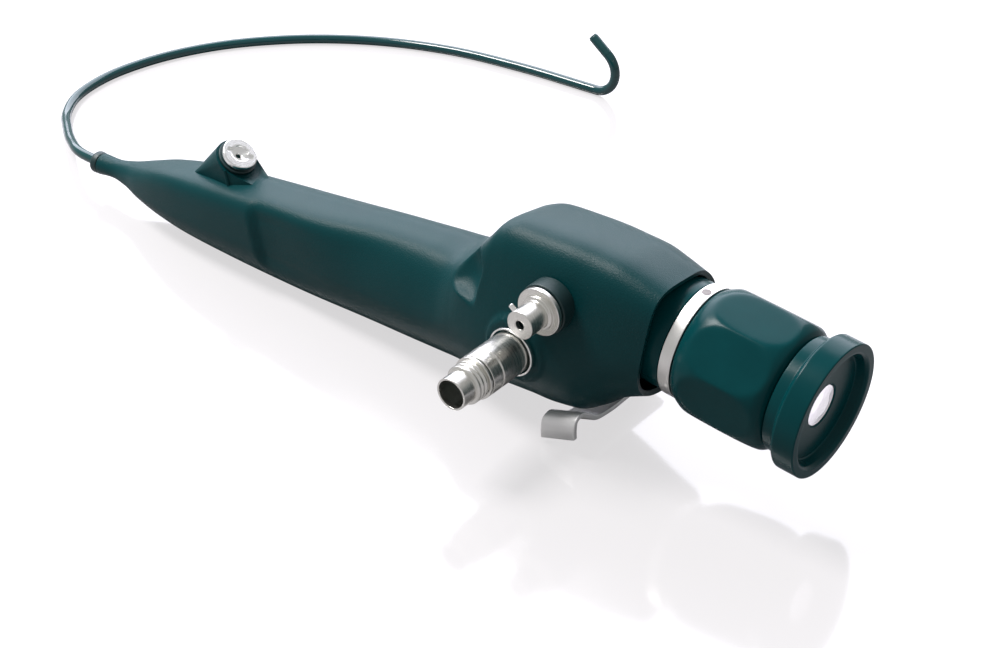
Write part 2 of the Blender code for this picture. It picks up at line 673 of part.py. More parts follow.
def light_post():
    """Barrel for the light cable, its screwed tip, base ring and the fibre bundle's face."""
    place = side_place(POST_BACK, POST_HEIGHT)
    ring_low = POST_SEAT + CLEARANCE
    thread_low = POST_REACH - POST_TIP_LENGTH - POST_THREAD_TURNS * POST_THREAD_PITCH
    high = thread_low - POST_COLLAR - CLEARANCE
    inside = POST_SEAT - POST_INSIDE
    edge = POST_EDGE
    groove = high - POST_GROOVE_BACK
    barrel = [(POST_RADIUS - edge, high), (POST_RADIUS, high - edge), (POST_RADIUS, groove + edge),
              (POST_RADIUS - edge, groove), (POST_RADIUS, groove - edge), (POST_RADIUS, inside),
              (POST_BORE, inside), (POST_BORE, high)]
    turned("light_post", barrel, place, stainless())
    root = POST_THREAD_RADIUS - POST_THREAD_DEPTH
    thread = []
    for turn in range(POST_THREAD_TURNS, 0, -1):
        crest = thread_low + turn * POST_THREAD_PITCH
        thread += [(root, crest), (POST_THREAD_RADIUS, crest - 0.25 * POST_THREAD_PITCH),
                   (POST_THREAD_RADIUS, crest - 0.75 * POST_THREAD_PITCH)]
    tip = [(POST_TIP_RADIUS - edge, POST_REACH), (POST_TIP_RADIUS, POST_REACH - edge),
           (POST_TIP_RADIUS, POST_REACH - POST_TIP_LENGTH + edge)]
    collar = [(root, thread_low), (POST_RADIUS, thread_low - edge), (POST_RADIUS, thread_low - POST_COLLAR),
              (POST_BORE, thread_low - POST_COLLAR), (POST_BORE, POST_REACH)]
    turned("light_post_tip", tip + thread + collar, place, stainless())
    base_ring = ring(POST_RING_RADIUS, POST_RADIUS + CLEARANCE, ring_low, ring_low + POST_RING_WIDTH)
    turned("light_post_ring", base_ring, place, stainless())
    fibres = rod(POST_BORE - CLEARANCE, inside, POST_REACH - FIBRE_DEPTH)
    turned("light_fibre_face", fibres, place, optical_glass(), SMALL_STEPS)
    nut_high = POST_SEAT - POST_PAD - CLEARANCE
    nut = ring(POST_RADIUS + POST_NUT_WALL, POST_RADIUS + CLEARANCE, nut_high - POST_NUT, nut_high)
    turned("light_post_nut", nut, place, brass(), SMALL_STEPS)


def vent_connector():
    """Venting and leak-test connector: flange, bayonet pin, seal, poppet and its spring."""
    place = side_place(VENT_BACK, VENT_HEIGHT)
    low = VENT_SEAT + CLEARANCE
    high = low + VENT_GASKET_WIDTH
    turned("vent_gasket", ring(VENT_GASKET_RADIUS, VENT_RADIUS + CLEARANCE, low, high), place, black_rubber())
    flange = high + CLEARANCE
    step = flange + VENT_FLANGE_WIDTH
    face = step + VENT_LENGTH
    inside = VENT_SEAT - VENT_INSIDE
    edge = VENT_EDGE
    profile = [(VENT_RADIUS - edge, face), (VENT_RADIUS, face - edge), (VENT_RADIUS, step + VENT_STEP + edge),
               (VENT_STEP_RADIUS, step + VENT_STEP), (VENT_STEP_RADIUS, step),
               (VENT_FLANGE_RADIUS - edge, step), (VENT_FLANGE_RADIUS, step - edge),
               (VENT_FLANGE_RADIUS, flange), (VENT_RADIUS, flange), (VENT_RADIUS, inside),
               (VENT_BORE, inside), (VENT_BORE, face - VENT_LIP), (VENT_MOUTH, face - VENT_LIP),
               (VENT_MOUTH, face)]
    body = turned("vent_connector", profile, place, stainless())
    pin_axis = Vector((-math.cos(VENT_PIN_TILT), 0, math.sin(VENT_PIN_TILT)))
    pin_place = along(at(VENT_BACK, -(face - VENT_PIN_BACK), VENT_HEIGHT), pin_axis)
    pin_low = VENT_RADIUS - VENT_PIN_ROOT
    pin_high = VENT_RADIUS + VENT_PIN_PROUD
    socket = cylinder_tool("pin_socket", VENT_PIN_RADIUS + PIN_FIT, pin_low - PIN_FIT, pin_high, pin_place,
                           SMALL_STEPS)
    drill(body, socket)
    pin = [(0.0, pin_high), (VENT_PIN_RADIUS - PIN_FIT, pin_high), (VENT_PIN_RADIUS, pin_high - PIN_FIT),
           (VENT_PIN_RADIUS, pin_low), (0.0, pin_low)]
    turned("vent_pin", pin, pin_place, stainless(), SMALL_STEPS)
    head = VENT_BORE - CLEARANCE
    seat_high = inside + SPRING_SEAT
    poppet_high = face - VENT_LIP - CLEARANCE
    head_low = poppet_high - POPPET_HEAD
    stem_low = seat_high + CLEARANCE + POPPET_TRAVEL
    poppet = [(0.0, poppet_high), (VENT_MOUTH + CLEARANCE, poppet_high), (head, poppet_high - POPPET_CONE),
              (head, head_low), (POPPET_STEM, head_low), (POPPET_STEM, stem_low), (0.0, stem_low)]
    turned("vent_poppet", poppet, place, black_rubber(), SMALL_STEPS)
    seat = ring(head, POPPET_STEM + POPPET_CONE, inside - CLEARANCE, seat_high)
    turned("vent_spring_seat", seat, place, brass(), SMALL_STEPS)
    coil_low = seat_high + CLEARANCE + SPRING_WIRE
    coil_high = head_low - CLEARANCE - SPRING_WIRE
    coil_radius = (VENT_BORE + POPPET_STEM) / 2
    coil = []
    for share in np.linspace(0, 1, SPRING_TURNS * SPRING_SIDES + 1):
        angle = math.tau * SPRING_TURNS * share
        height = coil_low + (coil_high - coil_low) * share
        coil.append(place @ Vector((coil_radius * math.cos(angle), coil_radius * math.sin(angle), height)))
    wire("vent_spring", coil, SPRING_WIRE, stainless(), 0)


def eyepiece_place():
    """Eyepiece's frame: origin in the middle of the window's front face, +Z to the eye."""
    return along(at(0, 0, EYE_HEIGHT), (math.cos(EYE_TILT), 0, -math.sin(EYE_TILT)))


def eyepiece():
    """Neck, index ring, focusing ring, sliding lens cell and eyecup, all on one tilted axis."""
    place = eyepiece_place()
    tube_outer = FOCUS_BORE - CLEARANCE
    tube_inner = tube_outer - NECK_WALL
    tube_end = -CUP_FLOOR - 2 * CLEARANCE
    index_high = -FOCUS_BACK - CLEARANCE
    index_low = index_high - INDEX_WIDTH
    shoulder = index_low - CLEARANCE
    web = -NECK_BACK + NECK_WEB
    guide_hole = FERRULE_RADIUS + CLEARANCE
    neck = [(tube_outer, tube_end), (tube_outer, shoulder), (NECK_RADIUS, shoulder),
            (NECK_RADIUS, -NECK_BACK), (guide_hole, -NECK_BACK), (guide_hole, web), (tube_inner, web),
            (tube_inner, tube_end)]
    turned("eyepiece_neck", neck, place, black_plastic())
    edge = INDEX_EDGE
    index = [(INDEX_RADIUS - edge, index_high), (INDEX_RADIUS, index_high - edge),
             (INDEX_RADIUS, index_low + edge), (INDEX_RADIUS - edge, index_low), (FOCUS_BORE, index_low),
             (FOCUS_BORE, index_high)]
    turned("index_ring", index, place, satin_metal())
    focusing_ring(place)
    cell = tube_inner - CLEARANCE
    cell_bore = cell - CELL_WALL
    cell_lip = cell_bore - CELL_LIP
    lip_high = -CELL_BACK + CELL_FLOOR
    cell_high = -CELL_BACK + CELL_LENGTH
    cell_profile = [(cell, cell_high), (cell, -CELL_BACK), (cell_lip, -CELL_BACK), (cell_lip, lip_high),
                    (cell_bore, lip_high), (cell_bore, cell_high)]
    turned("lens_cell", cell_profile, place, brass(), SMALL_STEPS)
    cell_lens = lens_profile(cell_bore - CLEARANCE, lip_high + CLEARANCE, CELL_LENS_THICKNESS)
    turned("cell_lens", cell_lens, place, optical_glass(), SMALL_STEPS)
    retainer = ring(cell, WINDOW_RADIUS - RETAINER_LAP, tube_end - RETAINER_WIDTH, tube_end)
    turned("window_retainer", retainer, place, black_plastic(), SMALL_STEPS)
    window = lens_profile(WINDOW_RADIUS, -WINDOW_THICKNESS, WINDOW_THICKNESS)
    turned("eyepiece_window", window, place, optical_glass(), SMALL_STEPS)
    hole = WINDOW_RADIUS + CLEARANCE
    floor = -CUP_FLOOR - CLEARANCE
    back = CUP_PROUD - CUP_DEPTH
    cup = [(CUP_RADIUS, CUP_PROUD - CUP_LIP), (CUP_RADIUS, back), (CUP_RADIUS - CUP_LIP, back - CUP_LIP),
           (CUP_TAIL_RADIUS, back - 2 * CUP_LIP), (CUP_TAIL_RADIUS, -CUP_TAIL_BACK),
           (FOCUS_BORE, -CUP_TAIL_BACK), (FOCUS_BORE, floor), (hole, floor), (hole, -CLEARANCE),
           (CUP_MOUTH_RADIUS - CUP_LIP, 0.0),
           (CUP_MOUTH_RADIUS, CUP_PROUD - CUP_LIP), (CUP_MOUTH_RADIUS + CUP_LIP, CUP_PROUD),
           (CUP_RADIUS - CUP_LIP, CUP_PROUD)]
    turned("eyecup", cup, place, black_plastic(), FINE_STEPS)
    turned("image_guide_ferrule", rod(FERRULE_RADIUS, -NECK_BACK, -NECK_BACK + FERRULE_LENGTH),
           place, stainless(), SMALL_STEPS)


def focusing_ring(place):
    """Ring that bulges towards its middle, with flats cut all round it for the fingers."""
    end = -CUP_TAIL_BACK - CLEARANCE
    length = FOCUS_BACK + end
    bulge = FOCUS_BULGE_RADIUS - FOCUS_END_RADIUS
    outer = []
    for share, rise in FOCUS_SWELL:
        outer.append((FOCUS_END_RADIUS + bulge * rise, end - length * share))
    bore = [(FOCUS_BORE, -FOCUS_BACK), (FOCUS_BORE, end)]
    focus = turned("focus_ring", outer + bore, place, black_plastic(), FINE_STEPS)
    corner = FOCUS_FLAT_APOTHEM / math.cos(math.pi / FOCUS_FLATS)
    prism_place = place @ Matrix.Rotation(FOCUS_TURN, 4, "Z")
    prism = turned("focus_prism", rod(corner, -FOCUS_BACK - INDEX_WIDTH, 0.0), prism_place, None,
                   FOCUS_FLATS, cutter=True)
    drill(focus, prism, "INTERSECT")


def lens_profile(radius, low, thickness):
    """Plano-convex lens, convex towards the eye."""
    rim = low + 0.75 * thickness
    shoulder = low + 0.94 * thickness
    return [(0.0, low + thickness), (radius * 0.5, shoulder), (radius, rim), (radius, low), (0.0, low)]


def steering():
    """Chassis, shaft, bush, seal, drum, pull wires and guide block inside the head."""
    pivot = along(at(PIVOT_BACK, 0, PIVOT_HEIGHT), (0, 1, 0))
    half = CHASSIS_THICKNESS / 2
    drum_low = -half - CLEARANCE - DRUM_WIDTH
    shaft_high = FAR_WALL + CLEARANCE + HUB_THICKNESS
    hub_low = FAR_WALL + CLEARANCE
    neck_edge = (NECK_BACK + CLEARANCE) / math.cos(EYE_TILT)
    lean = math.tan(EYE_TILT)
    crown = PIVOT_HEIGHT + CHASSIS_RISE
    heel = PIVOT_HEIGHT - CHASSIS_DROP
    rear_top = PIVOT_HEIGHT + 0.8 * CHASSIS_RISE
    rear_low = PIVOT_HEIGHT - 0.5 * CHASSIS_DROP
    spar_end = NOSE_BACK - TUBE_INSIDE - HOLDER_TAIL - CLEARANCE
    shoulder = PIVOT_BACK + SPAR_SHOULDER
    head = PIVOT_BACK + CHASSIS_HEAD
    outline = [(neck_edge - (rear_top - EYE_HEIGHT) * lean, rear_top), (PIVOT_BACK - CHASSIS_RISE, crown),
               (PIVOT_BACK + BUSH_RADIUS, rear_top), (head, PIVOT_HEIGHT - BUSH_RADIUS),
               (shoulder, SPAR_TOP + DRUM_RADIUS), (spar_end, SPAR_TOP), (spar_end, SPAR_BOTTOM),
               (shoulder, SPAR_BOTTOM), (head, SPAR_TOP), (PIVOT_BACK - CHASSIS_RISE, heel),
               (neck_edge - (rear_low - EYE_HEIGHT) * lean, rear_low)]
    face = Matrix.Translation(at(0, 0, 0)) @ Matrix.Rotation(math.pi / 2, 4, "X")
    flat = [(-back, height) for back, height in outline]
    plate = slab("chassis", flat, CHASSIS_THICKNESS, face, satin_metal())
    through = CHASSIS_THICKNESS
    bore = SHAFT_RADIUS + CLEARANCE
    drill(plate, cylinder_tool("chassis_bore", bore, -through, through, pivot, SMALL_STEPS))
    hole_height = SPAR_BOTTOM + SPAR_EDGE + SPAR_HOLE
    for number in range(1, 4):
        hole_place = along(at(shoulder + number * SPAR_HOLE_PITCH, 0, hole_height), (0, 1, 0))
        tool = cylinder_tool(f"spar_hole_{number}", SPAR_HOLE, -through, through, hole_place, SMALL_STEPS)
        drill(plate, tool)
    neck = SHAFT_RADIUS - SHAFT_STEP
    step = hub_low - CLEARANCE
    shaft = [(0.0, shaft_high), (neck, shaft_high), (neck, step), (SHAFT_RADIUS, step),
             (SHAFT_RADIUS, drum_low), (0.0, drum_low)]
    turned("steering_shaft", shaft, pivot, stainless(), SMALL_STEPS)
    bush_low = half + CLEARANCE
    bush_high = FAR_WALL - CLEARANCE
    wall_in = FAR_WALL - SHELL - BUSH_SHOULDER
    slim = BUSH_RADIUS - BUSH_STEP
    bore = SHAFT_RADIUS + CLEARANCE
    seal_radius = SHAFT_RADIUS + SEAL_WALL
    seal_low = bush_high - SEAL_WIDTH
    counterbore = seal_radius + CLEARANCE
    bush = [(BUSH_RADIUS, bush_high), (BUSH_RADIUS, wall_in), (slim, wall_in), (slim, bush_low),
            (bore, bush_low), (bore, seal_low - CLEARANCE), (counterbore, seal_low - CLEARANCE),
            (counterbore, bush_high)]
    turned("shaft_bush", bush, pivot, brass(), SMALL_STEPS)
    turned("shaft_seal", ring(seal_radius, bore, seal_low, bush_high), pivot, black_rubber(), SMALL_STEPS)
    groove = (DRUM_WIDTH - DRUM_GROOVE) / 2
    drum_high = drum_low + DRUM_WIDTH
    flange = DRUM_RADIUS + DRUM_FLANGE
    drum = [(flange, drum_high), (flange, drum_high - groove), (DRUM_RADIUS, drum_high - groove),
            (DRUM_RADIUS, drum_low + groove), (flange, drum_low + groove), (flange, drum_low),
            (bore, drum_low), (bore, drum_high)]
    turned("steering_drum", drum, pivot, satin_metal())
    wire_across = drum_low + DRUM_WIDTH / 2
    run = Vector((-math.cos(WIRE_SLOPE), 0, -math.sin(WIRE_SLOPE)))
    side = Vector((-math.sin(WIRE_SLOPE), 0, math.cos(WIRE_SLOPE)))
    lane = DRUM_RADIUS + WIRE_RADIUS + CLEARANCE
    centre = at(PIVOT_BACK, wire_across, PIVOT_HEIGHT)
    block_frame = Matrix(((run.x, side.x, 0, 0), (0, 0, 1, 0), (run.z, side.z, 0, 0), (0, 0, 0, 1)))
    block_place = Matrix.Translation(centre) @ block_frame
    middle = math.hypot(GUIDE_BACK - PIVOT_BACK, PIVOT_HEIGHT - GUIDE_HEIGHT)
    low = middle - GUIDE_LENGTH / 2
    high = middle + GUIDE_LENGTH / 2
    reach = lane + WIRE_RADIUS + GUIDE_MARGIN
    block_depth = 2 * abs(wire_across + half + CLEARANCE)
    block = slab("wire_guide", [(low, -reach), (high, -reach), (high, reach), (low, reach)], block_depth,
                 block_place, brass())
    for name, turn, first in (("upper", 1, UPPER_WIRE_START), ("lower", -1, LOWER_WIRE_START)):
        hole_place = along(centre + side * lane * turn, run)
        tool = cylinder_tool(f"{name}_guide_hole", WIRE_RADIUS + CLEARANCE, low - GUIDE_MARGIN,
                             high + GUIDE_MARGIN, hole_place, SMALL_STEPS)
        drill(block, tool)
        wire_profile = rod(WIRE_RADIUS, first, first + WIRE_LENGTH)
        turned(f"{name}_pull_wire", wire_profile, hole_place, stainless(), SMALL_STEPS)


def lever():
    """Thumb lever: hub and arm outside the far wall, and a strip that runs under the head."""
    pivot = along(at(PIVOT_BACK, 0, PIVOT_HEIGHT), (0, 1, 0))
    low = FAR_WALL + CLEARANCE
    hub_bore = SHAFT_RADIUS - SHAFT_STEP + CLEARANCE
    hub = turned("thumb_lever", ring(HUB_RADIUS, hub_bore, low, low + HUB_THICKNESS), pivot, satin_metal())
    length = math.hypot(PIVOT_BACK - LEVER_BACK, PIVOT_HEIGHT - LEVER_HEIGHT)
    start = HUB_RADIUS - HUB_THICKNESS
    half = LEVER_WIDTH / 2
    root = 1.1 * half
    outline = [(start, -root), (length, -half), (length, half), (start, root)]
    arm_place = lever_arm_place(low + LEVER_THICKNESS / 2)
    drill(hub, slab("lever_arm", outline, LEVER_THICKNESS, arm_place, None, cutter=True), "UNION")
    drill(hub, lever_strip(low), "UNION")
    head_low = low + HUB_THICKNESS + CLEARANCE
    head_high = head_low + SCREW_HEAD
    edge = SCREW_EDGE
    head = [(0.0, head_high), (SCREW_HEAD_RADIUS - edge, head_high), (SCREW_HEAD_RADIUS, head_high - edge),
            (SCREW_HEAD_RADIUS, head_low), (0.0, head_low)]
    screw = turned("lever_screw", head, pivot, stainless(), SMALL_STEPS)
    half_slot = SCREW_SLOT / 2
    reach = HUB_RADIUS
    slot_outline = [(-reach, -half_slot), (reach, -half_slot), (reach, half_slot), (-reach, half_slot)]
    slot_place = pivot @ Matrix.Translation((0, 0, head_high))
    drill(screw, slab("screw_slot", slot_outline, SCREW_HEAD, slot_place, None, cutter=True))


def lever_arm_place(across):
    """Frame in the arm's plane: origin on the pivot, +X down the arm to the thumb strip."""
    down = Vector((PIVOT_BACK - LEVER_BACK, 0, LEVER_HEIGHT - PIVOT_HEIGHT)).normalized()
    side = Vector((0, 1, 0)).cross(down)
    turn = Matrix(((down.x, side.x, 0, 0), (0, 0, 1, 0), (down.z, side.z, 0, 0), (0, 0, 0, 1)))
    return Matrix.Translation(at(PIVOT_BACK, across, PIVOT_HEIGHT)) @ turn


def lever_strip(low):
    """Bent strip, drawn edge-on and extruded across its width, that leans like the real one."""
    lift = LEVER_HEIGHT
    path = [(low + LEVER_THICKNESS / 2, lift + 4.0 * MM), (low + LEVER_THICKNESS / 2, lift + 1.4 * MM)]
    path += arc((low - 1.4 * MM + LEVER_THICKNESS / 2, lift + 1.4 * MM), 1.4 * MM, 0, -math.pi / 2, 5)[1:]
    path += [(4.0 * MM, lift), (-4.0 * MM, lift), (-9.0 * MM, lift + 1.2 * MM), (-12.0 * MM, lift + 3.0 * MM)]
    path += arc((-13.3 * MM, lift + 1.9 * MM), 1.9 * MM, math.radians(50), math.radians(190), 7)
    path += [(-15.0 * MM, lift + 0.8 * MM), (-14.3 * MM, lift - 0.1 * MM), (-12.9 * MM, lift - 0.6 * MM)]
    curve = bpy.data.curves.new("lever_strip", "CURVE")
    curve.dimensions = "2D"
    curve.fill_mode = "BOTH"
    curve.extrude = LEVER_WIDTH / 2
    spline = curve.splines.new("POLY")
    outline = ribbon(path, LEVER_THICKNESS)
    spline.points.add(len(outline) - 1)
    for point, (y, z) in zip(spline.points, outline):
        point.co = (y, z, 0.0, 1.0)
    spline.use_cyclic_u = True
    drawn = bpy.data.objects.new("lever_strip", curve)
    guides.objects.link(drawn)
    width = Vector((-math.cos(LEVER_LEAN), 0, -math.sin(LEVER_LEAN)))
    frame = Matrix(((0, 0, width.x, 0), (1, 0, 0, 0), (0, 1, width.z, 0), (0, 0, 0, 1)))
    drawn.matrix_world = Matrix.Translation(at(LEVER_BACK, 0, 0)) @ frame
    return solid_from(drawn, "lever_strip", None, cutter=True)


def ribbon(path, thickness):
    """Closed outline of a strip of even thickness that follows a bent path."""
    points = np.array(path)
    ahead = np.gradient(points, axis=0)
    ahead /= np.linalg.norm(ahead, axis=1)[:, None]
    normal = np.stack([-ahead[:, 1], ahead[:, 0]], axis=1) * thickness / 2
    return [tuple(p) for p in points + normal] + [tuple(p) for p in (points - normal)[::-1]]


def insertion_tube():
    """Coated tube from inside the nose, round its loop on the table, to the steerable tip."""
    route = [Vector((NOSE_BACK - TUBE_INSIDE, 0, NOSE_HEIGHT))]
    route += [Vector((back * MM, across * MM, height * MM)) for back, across, height in TUBE_ROUTE]
    route.append(Vector((TUBE_END_BACK, TUBE_ACROSS, TUBE_LIE)))
    points = np.array(route)
    chord = np.concatenate([[0.0], np.cumsum(np.linalg.norm(np.diff(points, axis=0), axis=1))])
    wanted = np.linspace(0.0, chord[-1], TUBE_POINTS)
    tangent = np.gradient(points, chord, axis=0)
    tangent[0] = (1, 0, 0)
    tangent[1] = (1, 0, 0)
    tangent[-1] = (-1, 0, 0)
    k = np.clip(np.searchsorted(chord, wanted) - 1, 0, len(points) - 2)
    step = (chord[k + 1] - chord[k])[:, None]
    t = ((wanted - chord[k])[:, None]) / step
    laid = (points[k] * (1 + 2 * t) * (1 - t) ** 2 + points[k + 1] * t ** 2 * (3 - 2 * t)
            + step * (tangent[k] * t * (1 - t) ** 2 - tangent[k + 1] * t ** 2 * (1 - t)))
    wire("insertion_tube", [at(*point) for point in laid], TUBE_RADIUS, tube_coating(), TUBE_SIDES_RESOLUTION)


def tube_end():
    """Frame at the end of the lying tube, +Z out of it."""
    end = at(TUBE_END_BACK, TUBE_ACROSS, TUBE_LIE)
    return Matrix.Translation(end) @ Matrix.Rotation(math.pi / 2, 4, "Y")


def bend_frames():
    """Frame of each link of the bent section; the last one carries the rigid tip."""
    turn = BEND_UP / LINKS
    place = tube_end()
    frames = []
    for _ in range(LINKS):
        place = place @ Matrix.Translation((0, 0, LINK_PITCH / 2)) @ Matrix.Rotation(-turn, 4, "Y")
        frames.append(place.copy())
        place = place @ Matrix.Translation((0, 0, LINK_PITCH / 2))
    return frames


def bending_section():
    """Pivoting links inside a thin sheath, and the rigid tip with its window."""
    frames = bend_frames()
    low = (LINK_PITCH - LINK_LENGTH) / 2
    link_profile = ring(LINK_RADIUS, LINK_RADIUS - LINK_WALL, low, low + LINK_LENGTH)
    for number, place in enumerate(frames[:-1], 1):
        turned(f"bending_link_{number}", link_profile, place, stainless(), SMALL_STEPS)
    tip_place = frames[-1]
    high = low + TIP_LENGTH
    shoulder = low + LINK_LENGTH
    step = high - TIP_SEAT
    tip = [(TUBE_RADIUS - TIP_EDGE, high), (TUBE_RADIUS, high - TIP_EDGE),
           (TUBE_RADIUS, shoulder + CLEARANCE), (LINK_RADIUS, shoulder), (LINK_RADIUS, low), (TIP_BORE, low),
           (TIP_BORE, step), (TIP_MOUTH, step), (TIP_MOUTH, high)]
    turned("distal_tip", tip, tip_place, black_plastic(), SMALL_STEPS)
    lens = rod(TIP_MOUTH - CLEARANCE, step + CLEARANCE, high - CLEARANCE / 3)
    turned("tip_lens", lens, tip_place, optical_glass(), SMALL_STEPS)
    route = [tube_end() @ Vector((0, 0, CLEARANCE))]
    route += [place.translation for place in frames]
    route.append(tip_place @ Vector((0, 0, shoulder - CLEARANCE)))
    sheath = wire("bending_sheath", route, TUBE_RADIUS, tube_coating(), capped=False)
    wall = sheath.modifiers.new("wall", "SOLIDIFY")
    wall.thickness = SHEATH_WALL
    wall.offset = -1.0


clear_scene()
housing()
nose()
channel_port()
light_post()
vent_connector()
eyepiece()
steering()
lever()
insertion_tube()
bending_section()
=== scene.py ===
"""Flexible fibre endoscope on a pale table: the looks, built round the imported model."""

import math

import bmesh
import bpy
import numpy as np
from mathutils import Matrix, Vector


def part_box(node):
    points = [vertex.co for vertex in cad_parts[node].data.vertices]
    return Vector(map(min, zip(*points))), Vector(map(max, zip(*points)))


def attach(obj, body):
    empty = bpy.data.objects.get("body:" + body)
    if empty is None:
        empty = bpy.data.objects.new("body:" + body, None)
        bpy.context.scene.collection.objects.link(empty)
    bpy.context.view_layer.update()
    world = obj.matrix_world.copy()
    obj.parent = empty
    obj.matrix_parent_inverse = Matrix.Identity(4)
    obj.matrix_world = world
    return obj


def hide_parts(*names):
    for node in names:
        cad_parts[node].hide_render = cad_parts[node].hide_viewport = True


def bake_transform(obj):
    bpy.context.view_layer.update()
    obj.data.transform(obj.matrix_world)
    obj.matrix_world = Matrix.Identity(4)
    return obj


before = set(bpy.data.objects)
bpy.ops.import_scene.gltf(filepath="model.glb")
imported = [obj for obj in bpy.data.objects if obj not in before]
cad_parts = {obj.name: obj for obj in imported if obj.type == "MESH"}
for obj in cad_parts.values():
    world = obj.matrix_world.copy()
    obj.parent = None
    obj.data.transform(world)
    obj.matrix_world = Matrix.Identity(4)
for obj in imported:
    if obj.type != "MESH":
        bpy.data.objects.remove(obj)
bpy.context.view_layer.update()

# Camera, floor, light and background: a product photograph taken from the front right, above, on glossy
# white acrylic that mirrors the scope faintly. A broad panel behind and a small softbox overhead light it.
PHOTO_WIDTH = 987
FOCAL_PIXELS = 2200
SENSOR = 36.0
CAMERA_AT = (0.29235, -0.33085, 0.2983)
CAMERA_TURN = (math.radians(56.6), 0.0, math.radians(38.5))
LIGHTS_AIM = (0.0, 0.0, 0.02)
ROOM_FILL = 0.45
ROOM_MIRRORED_LIFT = 0.05

camera = bpy.data.objects.new("camera", bpy.data.cameras.new("camera"))
camera.data.lens = FOCAL_PIXELS / PHOTO_WIDTH * SENSOR
camera.data.sensor_width = SENSOR
camera.data.clip_start = 0.01
camera.location = CAMERA_AT
camera.rotation_euler = CAMERA_TURN
bpy.context.scene.collection.objects.link(camera)
bpy.context.scene.camera = camera
bpy.context.scene.view_settings.view_transform = "Standard"


def new_material(name):
    """Material with a Principled shader: returns it, its nodes, its links and the shader."""
    made = bpy.data.materials.new(name)
    made.use_nodes = True
    tree = made.node_tree
    return made, tree.nodes, tree.links, tree.nodes["Principled BSDF"]


def area_light(name, place, width, height, power, colour):
    """Rectangular soft light at place, aimed at the scope."""
    lamp = bpy.data.lights.new(name, "AREA")
    lamp.shape = "RECTANGLE"
    lamp.size = width
    lamp.size_y = height
    lamp.energy = power
    lamp.color = colour
    stand = bpy.data.objects.new(name, lamp)
    stand.location = place
    stand.rotation_euler = (Vector(LIGHTS_AIM) - Vector(place)).to_track_quat("-Z", "Y").to_euler()
    bpy.context.scene.collection.objects.link(stand)


area_light("back_panel", (-0.47, 0.59, 0.5), width=1.4, height=0.8, power=14.5, colour=(0.88, 0.88, 1.0))
area_light("key_softbox", (-0.4, -0.1, 0.75), width=0.3, height=0.3, power=11.0, colour=(1.0, 0.98, 0.97))

# The room is plain white where the camera or glass sees it. It lights the scope weakly, and shows in
# polished surfaces a little brighter than that.
world = bpy.data.worlds.new("studio")
bpy.context.scene.world = world
world.use_nodes = True
world_nodes, world_links = world.node_tree.nodes, world.node_tree.links
background = world_nodes["Background"]
background.inputs["Color"].default_value = (1.0, 1.0, 1.0, 1.0)
ray = world_nodes.new("ShaderNodeLightPath")
seen = world_nodes.new("ShaderNodeMath")
seen.operation = "MAXIMUM"
world_links.new(ray.outputs["Is Camera Ray"], seen.inputs[0])
world_links.new(ray.outputs["Is Transmission Ray"], seen.inputs[1])
dimmed = world_nodes.new("ShaderNodeMath")
dimmed.operation = "MULTIPLY_ADD"
dimmed.inputs[1].default_value = ROOM_MIRRORED_LIFT
dimmed.inputs[2].default_value = ROOM_FILL
world_links.new(ray.outputs["Is Glossy Ray"], dimmed.inputs[0])
strength = world_nodes.new("ShaderNodeMath")
strength.operation = "MAXIMUM"
world_links.new(seen.outputs["Value"], strength.inputs[0])
world_links.new(dimmed.outputs["Value"], strength.inputs[1])
world_links.new(strength.outputs["Value"], background.inputs["Strength"])

# The acrylic looks white to the camera by a glow of its own, and bounces only a little light.
FLOOR_SIZE = 3.0
FLOOR_BOUNCE = (0.3, 0.295, 0.298)
FLOOR_SHOWN = (0.16, 0.155, 0.16)
FLOOR_GLOW = 0.66
floor_mesh = bpy.data.meshes.new("floor")
half_floor = FLOOR_SIZE / 2
floor_mesh.from_pydata([(-half_floor, -half_floor, 0), (half_floor, -half_floor, 0),
                        (half_floor, half_floor, 0), (-half_floor, half_floor, 0)], [], [(0, 1, 2, 3)])
floor = bpy.data.objects.new("floor", floor_mesh)
bpy.context.scene.collection.objects.link(floor)
floor_material, nodes, links, shader = new_material("white_acrylic")
shader.inputs["Roughness"].default_value = 0.1
shader.inputs["Emission Color"].default_value = (1.0, 0.985, 0.995, 1.0)
ray = nodes.new("ShaderNodeLightPath")
shade = nodes.new("ShaderNodeMix")
shade.data_type = "RGBA"
shade.inputs[6].default_value = (*FLOOR_BOUNCE, 1.0)
shade.inputs[7].default_value = (*FLOOR_SHOWN, 1.0)
links.new(ray.outputs["Is Camera Ray"], shade.inputs[0])
links.new(shade.outputs[2], shader.inputs["Base Color"])
lift = nodes.new("ShaderNodeMath")
lift.operation = "MULTIPLY"
lift.inputs[1].default_value = FLOOR_GLOW
links.new(ray.outputs["Is Camera Ray"], lift.inputs[0])
links.new(lift.outputs["Value"], shader.inputs["Emission Strength"])
floor_mesh.materials.append(floor_material)

# Insertion tube: a coated coil-and-braid tube, 2.8 mm across, that leaves the nose level, lies on the
# table in one wide loop and comes back past the grip. It is stiff and springy. The photograph shows
# it from end to end, so its length there is its real length.
NOSE_BACK = 0.226
nose_low, nose_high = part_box("nose_ring")
LENS_X = nose_low[0] + NOSE_BACK
MID_Y = (nose_low[1] + nose_high[1]) / 2
TUBE_RADIUS = 0.0014
TUBE_LIE = 0.0015
TUBE_STEPS = 260
TUBE_SIDES = 24
NOSE_HEIGHT = 0.0081
TUBE_END = (0.153, 0.1278, TUBE_LIE)
